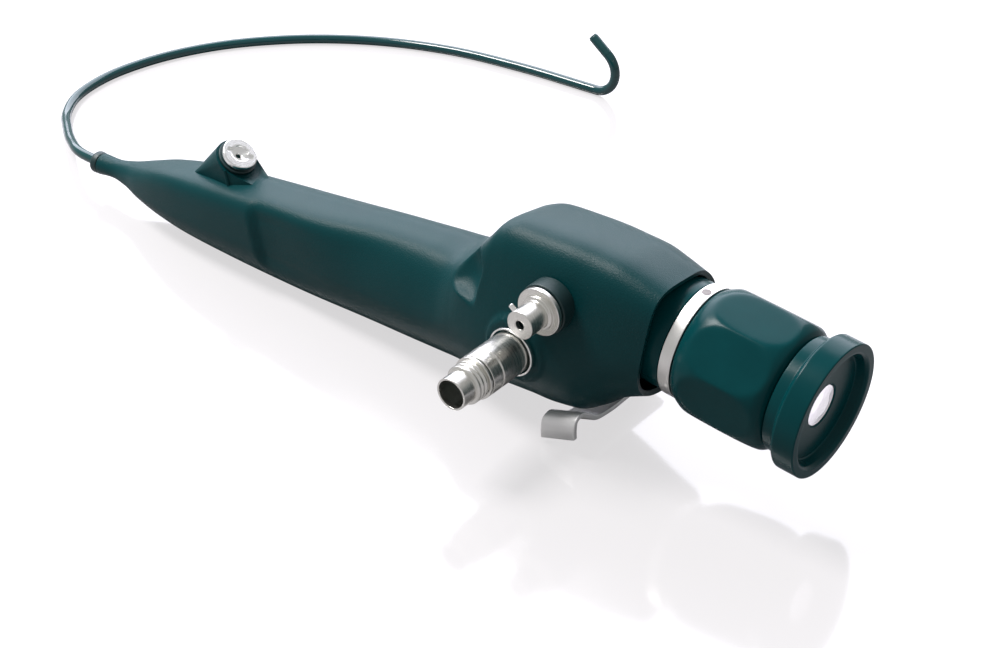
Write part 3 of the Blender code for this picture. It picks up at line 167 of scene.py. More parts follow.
# Points listed: forward of the eyepiece window, across from the midplane, above the table
TUBE_ROUTE = [
    (0.2250, 0.0, NOSE_HEIGHT),
    (0.2345, 0.0016, 0.0072),
    (0.2435, 0.0064, 0.0055),
    (0.2530, 0.0132, 0.0037),
    (0.2620, 0.0210, 0.0020),
    (0.2680, 0.0300, TUBE_LIE),
    (0.2705, 0.0430, TUBE_LIE),
    (0.2685, 0.0590, TUBE_LIE),
    (0.2605, 0.0780, TUBE_LIE),
    (0.2460, 0.0960, TUBE_LIE),
    (0.2270, 0.1105, TUBE_LIE),
    (0.2030, 0.1210, TUBE_LIE),
    (0.1780, 0.1257, TUBE_LIE),
    TUBE_END,
]
# Points closer than the weld are one point, and edges sharper than this angle stay sharp
WELD = 1e-7
SKIN_SHARP = math.radians(50)


def at(back, across, height):
    """World point, from its distance along the handle from the eyepiece window towards the tube, its
    distance across from the handle's midplane and its height above the table."""
    x, y = LENS_X - np.asarray(back, float), MID_Y + np.asarray(across, float)
    return np.stack(np.broadcast_arrays(x, y, np.asarray(height, float)), axis=-1)


def smooth_path(route, count):
    """Evenly spaced points on a cubic through the route: between two route points the curve is the
    Hermite blend of both places and both slopes, and a slope is the chord over its neighbours."""
    points = np.asarray(route, float)
    chord = np.concatenate([[0.0], np.cumsum(np.linalg.norm(np.diff(points, axis=0), axis=1))])
    slope = np.gradient(points, chord, axis=0)
    wanted = np.linspace(0.0, chord[-1], count)
    k = np.clip(np.searchsorted(chord, wanted) - 1, 0, len(points) - 2)
    step = (chord[k + 1] - chord[k])[:, None]
    t = (wanted - chord[k])[:, None] / step
    return (points[k] * (1 + 2 * t) * (1 - t) ** 2 + points[k + 1] * t ** 2 * (3 - 2 * t)
            + step * (slope[k] * t * (1 - t) ** 2 - slope[k + 1] * t ** 2 * (1 - t)))


def skin(name, rings, wrap=False, ends=True, profile=None):
    """Mesh from an array of rings: ring i is joined to ring i + 1 all round. With wrap the last ring
    joins the first. Without it each end ring is closed by a fan round its middle, or left open. The
    attribute along_profile holds each ring's distance along a turned piece's profile."""
    rows, sides = rings.shape[:2]
    points = rings.reshape(-1, 3)
    along_profile = np.repeat(np.zeros(rows) if profile is None else profile, sides)
    index = np.arange(rows * sides).reshape(rows, sides)
    nearer = index if wrap else index[:-1]
    farther = np.roll(index, -1, axis=0) if wrap else index[1:]
    quads = np.stack([nearer, np.roll(nearer, -1, axis=1), np.roll(farther, -1, axis=1), farther], axis=-1)
    faces = quads.reshape(-1, 4).tolist()
    if ends and not wrap:
        points = np.concatenate([points, rings[[0, -1]].mean(axis=1)])
        along_profile = np.concatenate([along_profile, along_profile[[0, -1]]])
        for ring, middle, turn in ((index[0], rows * sides, 1), (index[-1], rows * sides + 1, -1)):
            fan = np.stack([np.roll(ring, -turn), ring, np.full(sides, middle)], axis=-1)
            faces += fan.tolist()
    mesh = bpy.data.meshes.new(name)
    mesh.from_pydata(points.tolist(), [], faces)
    mesh.attributes.new("along_profile", "FLOAT", "POINT").data.foreach_set("value", along_profile)
    weld = bmesh.new()
    weld.from_mesh(mesh)
    bmesh.ops.remove_doubles(weld, verts=weld.verts, dist=WELD)
    bmesh.ops.recalc_face_normals(weld, faces=weld.faces)
    weld.to_mesh(mesh)
    weld.free()
    mesh.shade_smooth()
    mesh.set_sharp_from_angle(angle=SKIN_SHARP)
    piece = bpy.data.objects.new(name, mesh)
    bpy.context.scene.collection.objects.link(piece)
    return piece


def tube_rings(path, radius, sides, across):
    """Rings of a round tube: at each point of the path a circle stands square to the path's slope,
    measured from the direction across it."""
    path = np.asarray(path, float)
    ahead = np.gradient(path, axis=0)
    ahead /= np.linalg.norm(ahead, axis=1)[:, None]
    first = np.cross(ahead, across)
    first /= np.linalg.norm(first, axis=1)[:, None]
    second = np.cross(first, ahead)
    angle = np.arange(sides) * math.tau / sides
    radius = np.broadcast_to(radius, len(path))[:, None, None]
    return (path[:, None, :] + radius * (first[:, None, :] * np.cos(angle)[None, :, None]
                                         + second[:, None, :] * np.sin(angle)[None, :, None]))


def dress(piece, material, slot, body, *nodes):
    """Give a piece its material, and let it ride on its body in place of nodes. The slot is not used."""
    piece.data.materials.clear()
    piece.data.materials.append(material)
    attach(piece, body)
    if nodes:
        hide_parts(*nodes)
    return piece


def shader_group(name, inputs, outputs):
    """Empty node group with named value inputs, given with their defaults, and named outputs."""
    group = bpy.data.node_groups.new(name, "ShaderNodeTree")
    group.interface.new_socket("Vector", in_out="INPUT", socket_type="NodeSocketVector")
    for label, value in inputs.items():
        socket = group.interface.new_socket(label, in_out="INPUT", socket_type="NodeSocketFloat")
        socket.default_value = value
    for label in outputs:
        group.interface.new_socket(label, in_out="OUTPUT", socket_type="NodeSocketFloat")
    return group, group.nodes.new("NodeGroupInput"), group.nodes.new("NodeGroupOutput")


def use_group(nodes, links, group, **values):
    """Place a group in a material, fed with Object coordinates and its own values."""
    place = nodes.new("ShaderNodeTexCoord")
    used = nodes.new("ShaderNodeGroup")
    used.node_tree = group
    links.new(place.outputs["Object"], used.inputs["Vector"])
    for label, value in values.items():
        used.inputs[label].default_value = value
    return used


def tint(nodes, links, shader, mask, low, high):
    """Colour of a shader: two colours mixed by a mask."""
    mix = nodes.new("ShaderNodeMix")
    mix.data_type = "RGBA"
    mix.inputs[6].default_value = (*low, 1.0)
    mix.inputs[7].default_value = (*high, 1.0)
    links.new(mask, mix.inputs[0])
    links.new(mix.outputs[2], shader.inputs["Base Color"])


def roughen(nodes, links, shader, mask, low, high):
    """Roughness of a shader, which runs from low to high with a mask."""
    ranged = nodes.new("ShaderNodeMapRange")
    ranged.inputs["To Min"].default_value = low
    ranged.inputs["To Max"].default_value = high
    links.new(mask, ranged.inputs["Value"])
    links.new(ranged.outputs["Result"], shader.inputs["Roughness"])


def bump(nodes, links, shader, height, distance):
    """Bump of a given depth on a shader."""
    bumped = nodes.new("ShaderNodeBump")
    bumped.inputs["Distance"].default_value = distance
    bumped.inputs["Strength"].default_value = 1.0
    links.new(height, bumped.inputs["Height"])
    links.new(bumped.outputs["Normal"], shader.inputs["Normal"])


# Handling marks, used on every glossy surface: broad soft smears and fine dust specks.
handling, given, made = shader_group("handling_marks", {"Smear Size": 60.0, "Dust Size": 2400.0},
                                     ["Smears", "Dust"])
smears = handling.nodes.new("ShaderNodeTexNoise")
smears.inputs["Detail"].default_value = 4.0
smears.inputs["Roughness"].default_value = 0.62
handling.links.new(given.outputs["Vector"], smears.inputs["Vector"])
handling.links.new(given.outputs["Smear Size"], smears.inputs["Scale"])
handling.links.new(smears.outputs["Fac"], made.inputs["Smears"])
dust = handling.nodes.new("ShaderNodeTexNoise")
dust.inputs["Detail"].default_value = 2.0
handling.links.new(given.outputs["Vector"], dust.inputs["Vector"])
handling.links.new(given.outputs["Dust Size"], dust.inputs["Scale"])
handling.links.new(dust.outputs["Fac"], made.inputs["Dust"])

coating, nodes, links, shader = new_material("tube_coating")
marks = use_group(nodes, links, handling)
tint(nodes, links, shader, marks.outputs["Smears"], (0.0006, 0.026, 0.03), (0.001, 0.048, 0.052))
roughen(nodes, links, shader, marks.outputs["Smears"], 0.05, 0.12)
bump(nodes, links, shader, marks.outputs["Dust"], 0.00001)
shader.inputs["Specular IOR Level"].default_value = 0.5

tube_path = smooth_path([at(*point) for point in TUBE_ROUTE], TUBE_STEPS)
tube = skin("insertion_tube_skin", tube_rings(tube_path, TUBE_RADIUS, TUBE_SIDES, (0, 0, 1)))

# Steerable section: a thin rubber sheath over the pivoting links, bent up as the lever rests at its
# stop. Each stretch of sheath bends over one hinge, from the middle of one link to the next one's.
# The last of the eight links is the rigid tip.
LINKS = 8
LINK_PITCH = 0.0022
BEND_UP = math.radians(143.0)
SHEATH_STEPS = 7
hinges = []
turn = 0.0
place = at(*TUBE_END) + np.array([LINK_PITCH / 2, 0, 0])
middles = [at(*TUBE_END)]
for number in range(LINKS):
    hinges.append(place.copy())
    turn += BEND_UP / LINKS
    ahead = np.array([math.cos(turn), 0, math.sin(turn)])
    middles.append(place + ahead * LINK_PITCH / 2)
    place = place + ahead * LINK_PITCH
link_names = [f"bending_link_{number}" for number in range(1, LINKS)]
for number in range(LINKS):
    t = np.linspace(0, 1, SHEATH_STEPS)[:, None]
    bow = (1 - t) ** 2 * middles[number] + 2 * t * (1 - t) * hinges[number] + t ** 2 * middles[number + 1]
    stretch = skin(f"sheath_over_hinge_{number + 1}", tube_rings(bow, TUBE_RADIUS, TUBE_SIDES, (0, 1, 0)))
    stretch.data.materials.append(coating)
    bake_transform(stretch)
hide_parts("bending_sheath")

# Rigid tip: a short black plastic cap on the last hinge. Its front rim is turned down by a hair, and the
# objective's lens lies in its flat face.
TIP_LENGTH = 0.007
TIP_RIM = 0.0004
TIP_RIM_STEP = 0.00012
TIP_RIM_SLOPE = 0.0001
LONGEST_SHARE = 0.45
HELD_BEYOND = 1.08
CUT_SHARP = math.radians(40)
tip_ahead = Vector(middles[LINKS] - hinges[LINKS - 1]).normalized()
tip_start = Vector(middles[LINKS])


def along(origin, direction):
    """Matrix that stands a local +Z shape at origin, along direction."""
    swing = Vector((0, 0, 1)).rotation_difference(Vector(direction).normalized())
    return Matrix.Translation(origin) @ swing.to_matrix().to_4x4()


def soften(outline, radius, closed=True, steps=5):
    """Outline with rounded corners. Each corner becomes a curve that leaves one edge and meets the
    other at the radius from it, or at the longest share of the edge where that is less. A point a
    little beyond it is held on each edge, so that the flats stay flat."""
    points = np.asarray(outline, float)
    before = np.roll(points, 1, axis=0) - points
    after = np.roll(points, -1, axis=0) - points
    reach = np.broadcast_to(radius, len(points))[:, None]
    size_before = np.maximum(np.linalg.norm(before, axis=1)[:, None], 1e-9)
    size_after = np.maximum(np.linalg.norm(after, axis=1)[:, None], 1e-9)
    start = before / size_before * np.minimum(reach, LONGEST_SHARE * size_before)
    end = after / size_after * np.minimum(reach, LONGEST_SHARE * size_after)
    t = np.linspace(0, 1, steps)[:, None, None]
    curve = points + (1 - t) ** 2 * start + t ** 2 * end
    held_before, held_after = (points + HELD_BEYOND * start)[None], (points + HELD_BEYOND * end)[None]
    rounded = np.concatenate([held_before, curve, held_after])
    if not closed:
        rounded[:, 0] = points[0]
        rounded[:, -1] = points[-1]
    return rounded.transpose(1, 0, 2).reshape(-1, 2)


def lathe(name, outline, place, sides=96, closed=True, soft=0.0002):
    """Turned piece: the softened outline of (radius, height) pairs is carried round local Z. A closed
    outline makes a ring, and an open one starts and ends on the axis."""
    profile = soften(outline, soft, closed)
    angle = np.arange(sides) * math.tau / sides
    radius, height = profile[:, 0, None], profile[:, 1, None]
    local = np.stack([radius * np.cos(angle), radius * np.sin(angle), height + 0 * angle], axis=-1)
    turn = np.array(place.to_3x3())
    walked = np.concatenate([[0.0], np.cumsum(np.linalg.norm(np.diff(profile, axis=0), axis=1))])
    return skin(name, local @ turn.T + np.array(place.translation), wrap=closed, profile=walked)


def band(radius, bore, start, end):
    """Outline of a plain ring, from one height to another."""
    return [(radius, start), (radius, end), (bore, end), (bore, start)]


def bar(radius, start, end):
    """Open outline of a plain round bar, from one height to another."""
    return [(0, start), (radius, start), (radius, end), (0, end)]


def box_cutter(name, length, width, height, place):
    """Plain block about its place's origin."""
    cage = bmesh.new()
    bmesh.ops.create_cube(cage, size=1.0)
    bmesh.ops.transform(cage, matrix=place @ Matrix.Diagonal((length, width, height, 1)), verts=cage.verts)
    mesh = bpy.data.meshes.new(name)
    cage.to_mesh(mesh)
    cage.free()
    piece = bpy.data.objects.new(name, mesh)
    bpy.context.scene.collection.objects.link(piece)
    return piece


def cut_away(piece, cutter):
    """Take the cutter's shape out of a piece, and apply the piece's modifiers to its mesh."""
    cut = piece.modifiers.new("cut", "BOOLEAN")
    cut.object = cutter
    cut.solver = "EXACT"
    bpy.context.view_layer.update()
    solid = bpy.data.meshes.new_from_object(piece.evaluated_get(bpy.context.evaluated_depsgraph_get()))
    piece.modifiers.clear()
    piece.data = solid
    solid.shade_smooth()
    solid.set_sharp_from_angle(angle=CUT_SHARP)
    bpy.data.objects.remove(cutter, do_unlink=True)


tip_place = along(tip_start, tip_ahead)
tip_cap = lathe("tip_cap", [
    (0, 0), (TUBE_RADIUS, 0), (TUBE_RADIUS, TIP_LENGTH - TIP_RIM - TIP_RIM_SLOPE),
    (TUBE_RADIUS - TIP_RIM_STEP, TIP_LENGTH - TIP_RIM), (TUBE_RADIUS - TIP_RIM_STEP, TIP_LENGTH),
    (0, TIP_LENGTH)], tip_place, 48, closed=False, soft=0.0001)

tip_black, nodes, links, shader = new_material("tip_black")
marks = use_group(nodes, links, handling, **{"Smear Size": 300.0})
tint(nodes, links, shader, marks.outputs["Smears"], (0.001, 0.03, 0.032), (0.002, 0.05, 0.052))
roughen(nodes, links, shader, marks.outputs["Smears"], 0.2, 0.4)
dress(tip_cap, tip_black, "black_plastic", "distal_tip", "distal_tip")

dress(tube, coating, "tube_coating", "handle", "insertion_tube")

# Handle housing: one moulded shell of hard plastic with a fine spark-eroded grain, slim in the grip and
# swollen into the head. Its open rear rim is cut square to the eyepiece, and the light post sits on a flat
# round seat on its near side.
MM = 0.001
EYE_HEIGHT = 0.0272
EYE_TILT = math.radians(5.8)
RIM_BACK = 0.037
RIM_HEIGHT = EYE_HEIGHT + RIM_BACK * math.sin(EYE_TILT)
SHELL_FRONT = 0.2235
SHELL = 0.0012
SHAFT_HOLE_RADIUS = 0.0047
SHAFT_HOLE_INNER = 0.006
SHAFT_HOLE_OUTER = 0.022
GRIP_SQUARENESS = 2.05
HEAD_SQUARENESS = 2.6
# The near shoulder is squarer than the rest, and leans in along the grip's rear half only
SHOULDER_SQUARENESS = 5.0
SHOULDER_START = 0.216
SHOULDER_RUN = 0.03
SHOULDER_LEAN = 0.3
SHOULDER_LEAN_FRONT = 0.145
SHOULDER_LEAN_RISE = 0.03
SHOULDER_LEAN_REAR = 0.098
SHOULDER_LEAN_FALL = 0.016
SHOULDER_LEAN_LEAST = 0.01
# The head is rolled so that its near wall looks up a little, and less so at its rim
HEAD_ROLL = math.radians(12)
ROLL_START = 0.096
ROLL_END = 0.076
ROLL_AT_RIM = 0.55
RIM_ROLL_RUN = 0.02
PIVOT_BACK = 0.078
PIVOT_HEIGHT = 0.0302
POST_BACK = 0.0685
POST_HEIGHT = 0.0228
POST_SEAT = 0.0189
POST_SEAT_RADIUS = 0.0082
POST_SEAT_MARGIN = 0.0003
POST_SEAT_FADE = 0.0009
# Distance forward of the window, half width, top, bottom and widest place above the centre line,
# squareness and lean, in mm
HOUSING_SECTIONS = [
    (223.5, 2.9, 2.6, -3.2, -0.3, 2.0, 0.0),
    (218.0, 2.9, 2.08, -2.8, -0.97, 2.0, 0.0),
    (212.0, 3.9, 2.79, -3.95, -1.39, 2.0, 0.0),
    (205.0, 6.1, 4.41, -6.25, -2.04, 2.1, 0.0),
    (196.0, 8.1, 6.5, -9.15, -2.53, 2.2, 0.05),
    (186.0, 9.5, 7.75, -11.68, -2.93, 2.2, 0.08),
    (172.0, 10.6, 8.3, -14.04, -3.63, 2.25, 0.1),
    (157.0, 11.3, 8.34, -16.26, -4.44, 2.25, 0.12),
    (140.0, 12.0, 8.26, -18.24, -5.49, 2.25, 0.12),
    (122.0, 12.8, 8.32, -19.62, -6.47, 2.25, 0.12),
    (104.0, 13.8, 8.05, -21.22, -7.24, 2.25, 0.12),
    (96.0, 14.7, 7.6, -21.76, -6.81, 2.25, 0.12),
    (91.0, 15.7, 8.8, -21.94, -5.01, 2.3, 0.14),
    (87.0, 16.5, 12.12, -22.46, -2.5, 2.4, 0.16),
    (84.5, 16.85, 14.6, -22.65, -1.34, 2.48, 0.17),
    (82.0, 17.1, 16.9, -22.6, -0.5, 2.55, 0.17),
    (79.0, 17.31, 20.0, -22.43, 0.11, 2.63, 0.17),
    (75.0, 17.5, 21.0, -22.2, 0.65, 2.7, 0.17),
    (67.0, 17.6, 20.5, -22.54, 1.09, 2.75, 0.17),
    (60.0, 17.4, 19.88, -23.2, 0.84, 2.75, 0.18),
    (54.0, 16.9, 19.0, -23.24, 0.52, 2.75, 0.19),
    (48.5, 16.4, 18.2, -20.9, 0.25, 2.75, 0.22),
    (43.0, 15.8, 16.7, -17.1, -0.21, 2.75, 0.3),
    (37.0, 15.0, 14.7, -14.8, -0.74, 2.75, 0.38),
]
# Finger notch at the foot of the head, a drop-shaped scoop that runs down over the near shoulder. Its
# rise is its length above its middle, and its length the one below.
NOTCH_MIDDLE = (0.0859, -0.0134, 0.0344)
NOTCH_TIP = (0.0824, -0.0166, 0.0292)
NOTCH_FACING = (0.41, -0.86, 0.31)
NOTCH_LENGTH = 0.0078
NOTCH_RISE = 0.0120
NOTCH_WIDTH = 0.0062
NOTCH_TAPER = 0.6
NOTCH_DEPTH = 0.0033
NOTCH_SOFTNESS = 0.0003
# Side panel of the grip, sunk a little behind the nose's swelling. Its upper and lower edges lie at
# shares of the way round the ring, from the far side over the top.
PANEL_DEPTH = 0.0014
PANEL_FRONT = 0.1575
PANEL_FRONT_LEAN = 0.25
PANEL_FRONT_HEIGHT = 0.0155
PANEL_FRONT_STEP = 0.0022
PANEL_UPPER = 0.335
PANEL_UPPER_FADE = 0.09
PANEL_LOWER = 0.62
PANEL_LOWER_FADE = 0.08
PANEL_REAR = 0.104
PANEL_REAR_FADE = 0.02
PANEL_SHALLOW = 0.4
PANEL_SHALLOW_BACK = 0.13
PANEL_SHALLOW_FADE = 0.024
# Rows of the shell's grid, closest together round the notch
NOTCH_ROWS_FRONT = 0.106
NOTCH_ROWS_REAR = 0.080
GRIP_ROWS = 100
NOTCH_ROWS = 90
HEAD_ROWS = 90
HOUSING_SIDES = 176


def smooth_values(places, values, wanted):
    """Cubic curve through values at places. Its slope at a place is the harmonic mean of the slopes on
    both sides, or zero at a peak, so that the curve never swings past a value."""
    step = np.diff(places)
    slope = np.diff(values) / step
    same_way = slope[1:] * slope[:-1]
    mean = 2 * same_way / (slope[1:] + slope[:-1] + 1e-12)
    tangent = np.concatenate([slope[:1], np.where(same_way > 0, mean, 0.0), slope[-1:]])
    k = np.clip(np.searchsorted(places, wanted) - 1, 0, len(step) - 1)
    t = (wanted - places[k]) / step[k]
    return (values[k] * (1 + 2 * t) * (1 - t) ** 2 + values[k + 1] * t ** 2 * (3 - 2 * t)
            + step[k] * (tangent[k] * t * (1 - t) ** 2 - tangent[k + 1] * t ** 2 * (1 - t)))


def ease(share):
    """Smooth step: 3 s squared minus 2 s cubed, for s held between 0 and 1."""
    share = np.clip(share, 0.0, 1.0)
    return share * share * (3 - 2 * share)


def housing_rings(backs, samples=1440):
    """Rings of the housing. Each is a superellipse, the 2 over squareness power of the circle's cosine
    and sine. Its upper half leans in with the rise to the power of 1.5, it is turned by the head's roll
    and sheared to the eyepiece's tilt near the rim, and then spaced evenly along its own length."""
    table = np.array(HOUSING_SECTIONS)[::-1]
    half, top, bottom, widest, power, lean = (smooth_values(table[:, 0] * MM, table[:, i], backs)[:, None]
                                              for i in range(1, 7))
    centre = RIM_HEIGHT + (NOSE_HEIGHT - RIM_HEIGHT) * (backs[:, None] - RIM_BACK) / (NOSE_BACK - RIM_BACK)
    back = backs[:, None]
    angle = np.arange(samples) * math.tau / samples
    cosine, sine = np.cos(angle)[None, :], np.sin(angle)[None, :]
    head = ease((ROLL_START - back) / (ROLL_START - ROLL_END))
    near_top = (sine > 0) & (cosine < 0)
    shoulder = power + (SHOULDER_SQUARENESS - power) * ease((SHOULDER_START - back) / SHOULDER_RUN)
    underside = GRIP_SQUARENESS + (HEAD_SQUARENESS - GRIP_SQUARENESS) * head
    power = np.where(near_top, shoulder, np.where(sine > 0, power, underside))
    leaning = ease((SHOULDER_LEAN_FRONT - back) / SHOULDER_LEAN_RISE)
    ending = ease((SHOULDER_LEAN_REAR - back) / SHOULDER_LEAN_FALL)
    lean = np.where(near_top, SHOULDER_LEAN_LEAST + SHOULDER_LEAN * leaning * (1 - ending), lean)
    across = np.sign(cosine) * np.abs(cosine) ** (2 / power)
    rise = np.sign(sine) * np.abs(sine) ** (2 / power)
    lift = np.where(rise > 0, (top - widest) * rise, (widest - bottom) * rise) * MM
    width = half * MM * across * (1 - lean * np.clip(rise, 0, 1) ** 1.5)
    roll = HEAD_ROLL * head * (ROLL_AT_RIM + (1 - ROLL_AT_RIM) * ease((back - RIM_BACK) / RIM_ROLL_RUN))
    height = centre + widest * MM - width * np.sin(roll) + lift * np.cos(roll)
    width = width * np.cos(roll) + lift * np.sin(roll)
    blend = 1 - ease((back - RIM_BACK) / (PIVOT_BACK - RIM_BACK))
    back = back - (height - RIM_HEIGHT) * math.tan(EYE_TILT) * blend
    dense = np.stack(np.broadcast_arrays(back, width, height), axis=-1)
    dense = np.concatenate([dense, dense[:, :1]], axis=1)
    length = np.cumsum(np.linalg.norm(np.diff(dense, axis=1), axis=2), axis=1)
    length = np.concatenate([np.zeros((len(backs), 1)), length], axis=1)
    rings = np.empty((len(backs), HOUSING_SIDES, 3))
    for row in range(len(backs)):
        wanted = np.arange(HOUSING_SIDES) / HOUSING_SIDES * length[row, -1]
        for axis in range(3):
            rings[row, :, axis] = np.interp(wanted, length[row], dense[row, :, axis])
    return rings


def outward(rings):
    """Unit normals of a grid of rings: the cross product of the steps along it and round it."""
    along_rows = np.gradient(rings, axis=0)
    round_rows = np.roll(rings, -1, axis=1) - np.roll(rings, 1, axis=1)
    normal = np.cross(along_rows, round_rows)
    normal /= np.maximum(np.linalg.norm(normal, axis=2)[..., None], 1e-12)
    middle = rings.mean(axis=1)[:, None]
    return normal * np.sign(((rings - middle) * normal).sum(axis=2).mean())


def finger_notch(rings):
    """Cut of the finger notch, along its own facing. The scoop is a paraboloid: its floor lies its depth
    times (1 minus r squared) below the notch's plane, with r measured along the notch in its lengths and
    square to it in its widths, which taper towards the tip. Points above the floor go down to it, by the
    softened distance ln(1 + e to the power of the distance), which rounds the notch's edge."""
    middle, tip, facing = np.array(NOTCH_MIDDLE), np.array(NOTCH_TIP), np.array(NOTCH_FACING)
    run = (tip - middle) / np.linalg.norm(tip - middle)
    out = facing - (facing @ run) * run
    out /= np.linalg.norm(out)
    offset = rings - middle
    forward, aside, above = offset @ run, offset @ np.cross(out, run), offset @ out
    length = np.where(forward > 0, NOTCH_LENGTH, NOTCH_RISE)
    width = NOTCH_WIDTH * (1 - NOTCH_TAPER * ease(forward / NOTCH_LENGTH))
    squared = (forward / length) ** 2 + (aside / width) ** 2
    above_floor = (above + NOTCH_DEPTH * (1 - squared)) / NOTCH_SOFTNESS
    return NOTCH_SOFTNESS * np.log1p(np.exp(np.clip(above_floor, -40, 40)))[..., None] * out


def panel_depth(rings, share):
    """Depth of the side panel: the product of a smooth step at its slanting front edge, one at its upper
    edge on the shoulder, one at its lower edge under the grip, and a slow fade towards the head."""
    back, height = rings[..., 0], rings[..., 2]
    front_edge = PANEL_FRONT + PANEL_FRONT_LEAN * (height - PANEL_FRONT_HEIGHT)
    front = ease((front_edge - back) / PANEL_FRONT_STEP)
    upper = ease((share - PANEL_UPPER) / PANEL_UPPER_FADE)
    lower = ease((PANEL_LOWER - share) / PANEL_LOWER_FADE)
    deeper = (1 - PANEL_SHALLOW) * ease((back - PANEL_SHALLOW_BACK) / PANEL_SHALLOW_FADE)
    rear = ease((back - PANEL_REAR) / PANEL_REAR_FADE) * (PANEL_SHALLOW + deeper)
    return PANEL_DEPTH * front * upper * lower * rear


backs = np.concatenate([np.linspace(SHELL_FRONT, NOTCH_ROWS_FRONT, GRIP_ROWS, endpoint=False),
                        np.linspace(NOTCH_ROWS_FRONT, NOTCH_ROWS_REAR, NOTCH_ROWS, endpoint=False),
                        np.linspace(NOTCH_ROWS_REAR, RIM_BACK, HEAD_ROWS)])
rings = housing_rings(backs)
round_share = np.arange(HOUSING_SIDES)[None, :] / HOUSING_SIDES
normals = outward(rings)
rings = rings - normals * panel_depth(rings, round_share)[..., None]
rings = rings - finger_notch(rings)
# Round the light post the wall is drawn out to the post's flat seat.
reach = np.hypot(rings[..., 0] - POST_BACK, rings[..., 2] - POST_HEIGHT)
held = ease((POST_SEAT_RADIUS + POST_SEAT_MARGIN - reach) / POST_SEAT_FADE) * (rings[..., 1] < 0)
rings[..., 1] += (-POST_SEAT - rings[..., 1]) * held
housing = skin("housing_shell", at(rings[..., 0], rings[..., 1], rings[..., 2]), ends=False)
wall = housing.modifiers.new("wall", "SOLIDIFY")
wall.thickness = SHELL
wall.offset = -1.0
wall.use_even_offset = True
pivot_place = along(at(PIVOT_BACK, 0, PIVOT_HEIGHT), (0, 1, 0))
cut_away(housing, lathe("shaft_hole", bar(SHAFT_HOLE_RADIUS, SHAFT_HOLE_INNER, SHAFT_HOLE_OUTER),
                        pivot_place, 48, closed=False, soft=0.0))

# Spark-eroded grain: fine speckle of bumps, and a slow change of shade where hands have polished it
grain, given, made = shader_group("moulded_grain", {"Grain Size": 2600.0}, ["Height", "Shade"])
speckle = grain.nodes.new("ShaderNodeTexNoise")
speckle.inputs["Detail"].default_value = 3.0
speckle.inputs["Roughness"].default_value = 0.7
grain.links.new(given.outputs["Vector"], speckle.inputs["Vector"])
grain.links.new(given.outputs["Grain Size"], speckle.inputs["Scale"])
grain.links.new(speckle.outputs["Fac"], made.inputs["Height"])
cloud = grain.nodes.new("ShaderNodeTexNoise")
cloud.inputs["Scale"].default_value = 38.0
cloud.inputs["Detail"].default_value = 3.0
grain.links.new(given.outputs["Vector"], cloud.inputs["Vector"])
grain.links.new(cloud.outputs["Fac"], made.inputs["Shade"])

moulded, nodes, links, shader = new_material("teal_moulded_plastic")
texture = use_group(nodes, links, grain)
tint(nodes, links, shader, texture.outputs["Shade"], (0.0002, 0.026, 0.029), (0.0004, 0.037, 0.042))
roughen(nodes, links, shader, texture.outputs["Shade"], 0.33, 0.42)
shader.inputs["Specular IOR Level"].default_value = 0.13
bump(nodes, links, shader, texture.outputs["Height"], 0.00008)
dress(housing, moulded, "housing_plastic", "handle", "handle_housing")

# Port boss: a wedge moulded on the grip's top, from a round seat down to a foot of six corners, with a
# flat front. A narrow rib runs from the foot's near corner up to the seat.
PORT_BACK = 0.1714
PORT_HEIGHT = 0.0285
PORT_TILT = math.radians(35)
BOSS_RADIUS = 0.0056
BOSS_SEAT = 0.0012
BOSS_ROWS = 40
BOSS_CORNER_STEPS = 14
BOSS_SIDE_STEPS = 16
BOSS_SOFT_EDGE = 0.0004
RIB_RADIUS = 0.00045
RIB_CORNER = 2
port_place = along(at(PORT_BACK, 0, PORT_HEIGHT), (math.sin(PORT_TILT), 0, math.cos(PORT_TILT)))
# Corners of the foot: forward of the port, across, and below the grip's top line
BOSS_FOOT = [(0.0146, 0.0033, 0.0016), (0.0146, -0.0033, 0.0016), (-0.0028, -0.0060, 0.0036),
             (-0.0095, -0.0020, 0.0010), (-0.0095, 0.0020, 0.0010), (-0.0028, 0.0054, 0.0024)]


def grip_top(back):
    """Height of the housing's top line."""
    table = np.array(HOUSING_SECTIONS)[::-1]
    centre = RIM_HEIGHT + (NOSE_HEIGHT - RIM_HEIGHT) * (back - RIM_BACK) / (NOSE_BACK - RIM_BACK)
    return centre + MM * smooth_values(table[:, 0] * MM, table[:, 2], np.asarray(back, float))


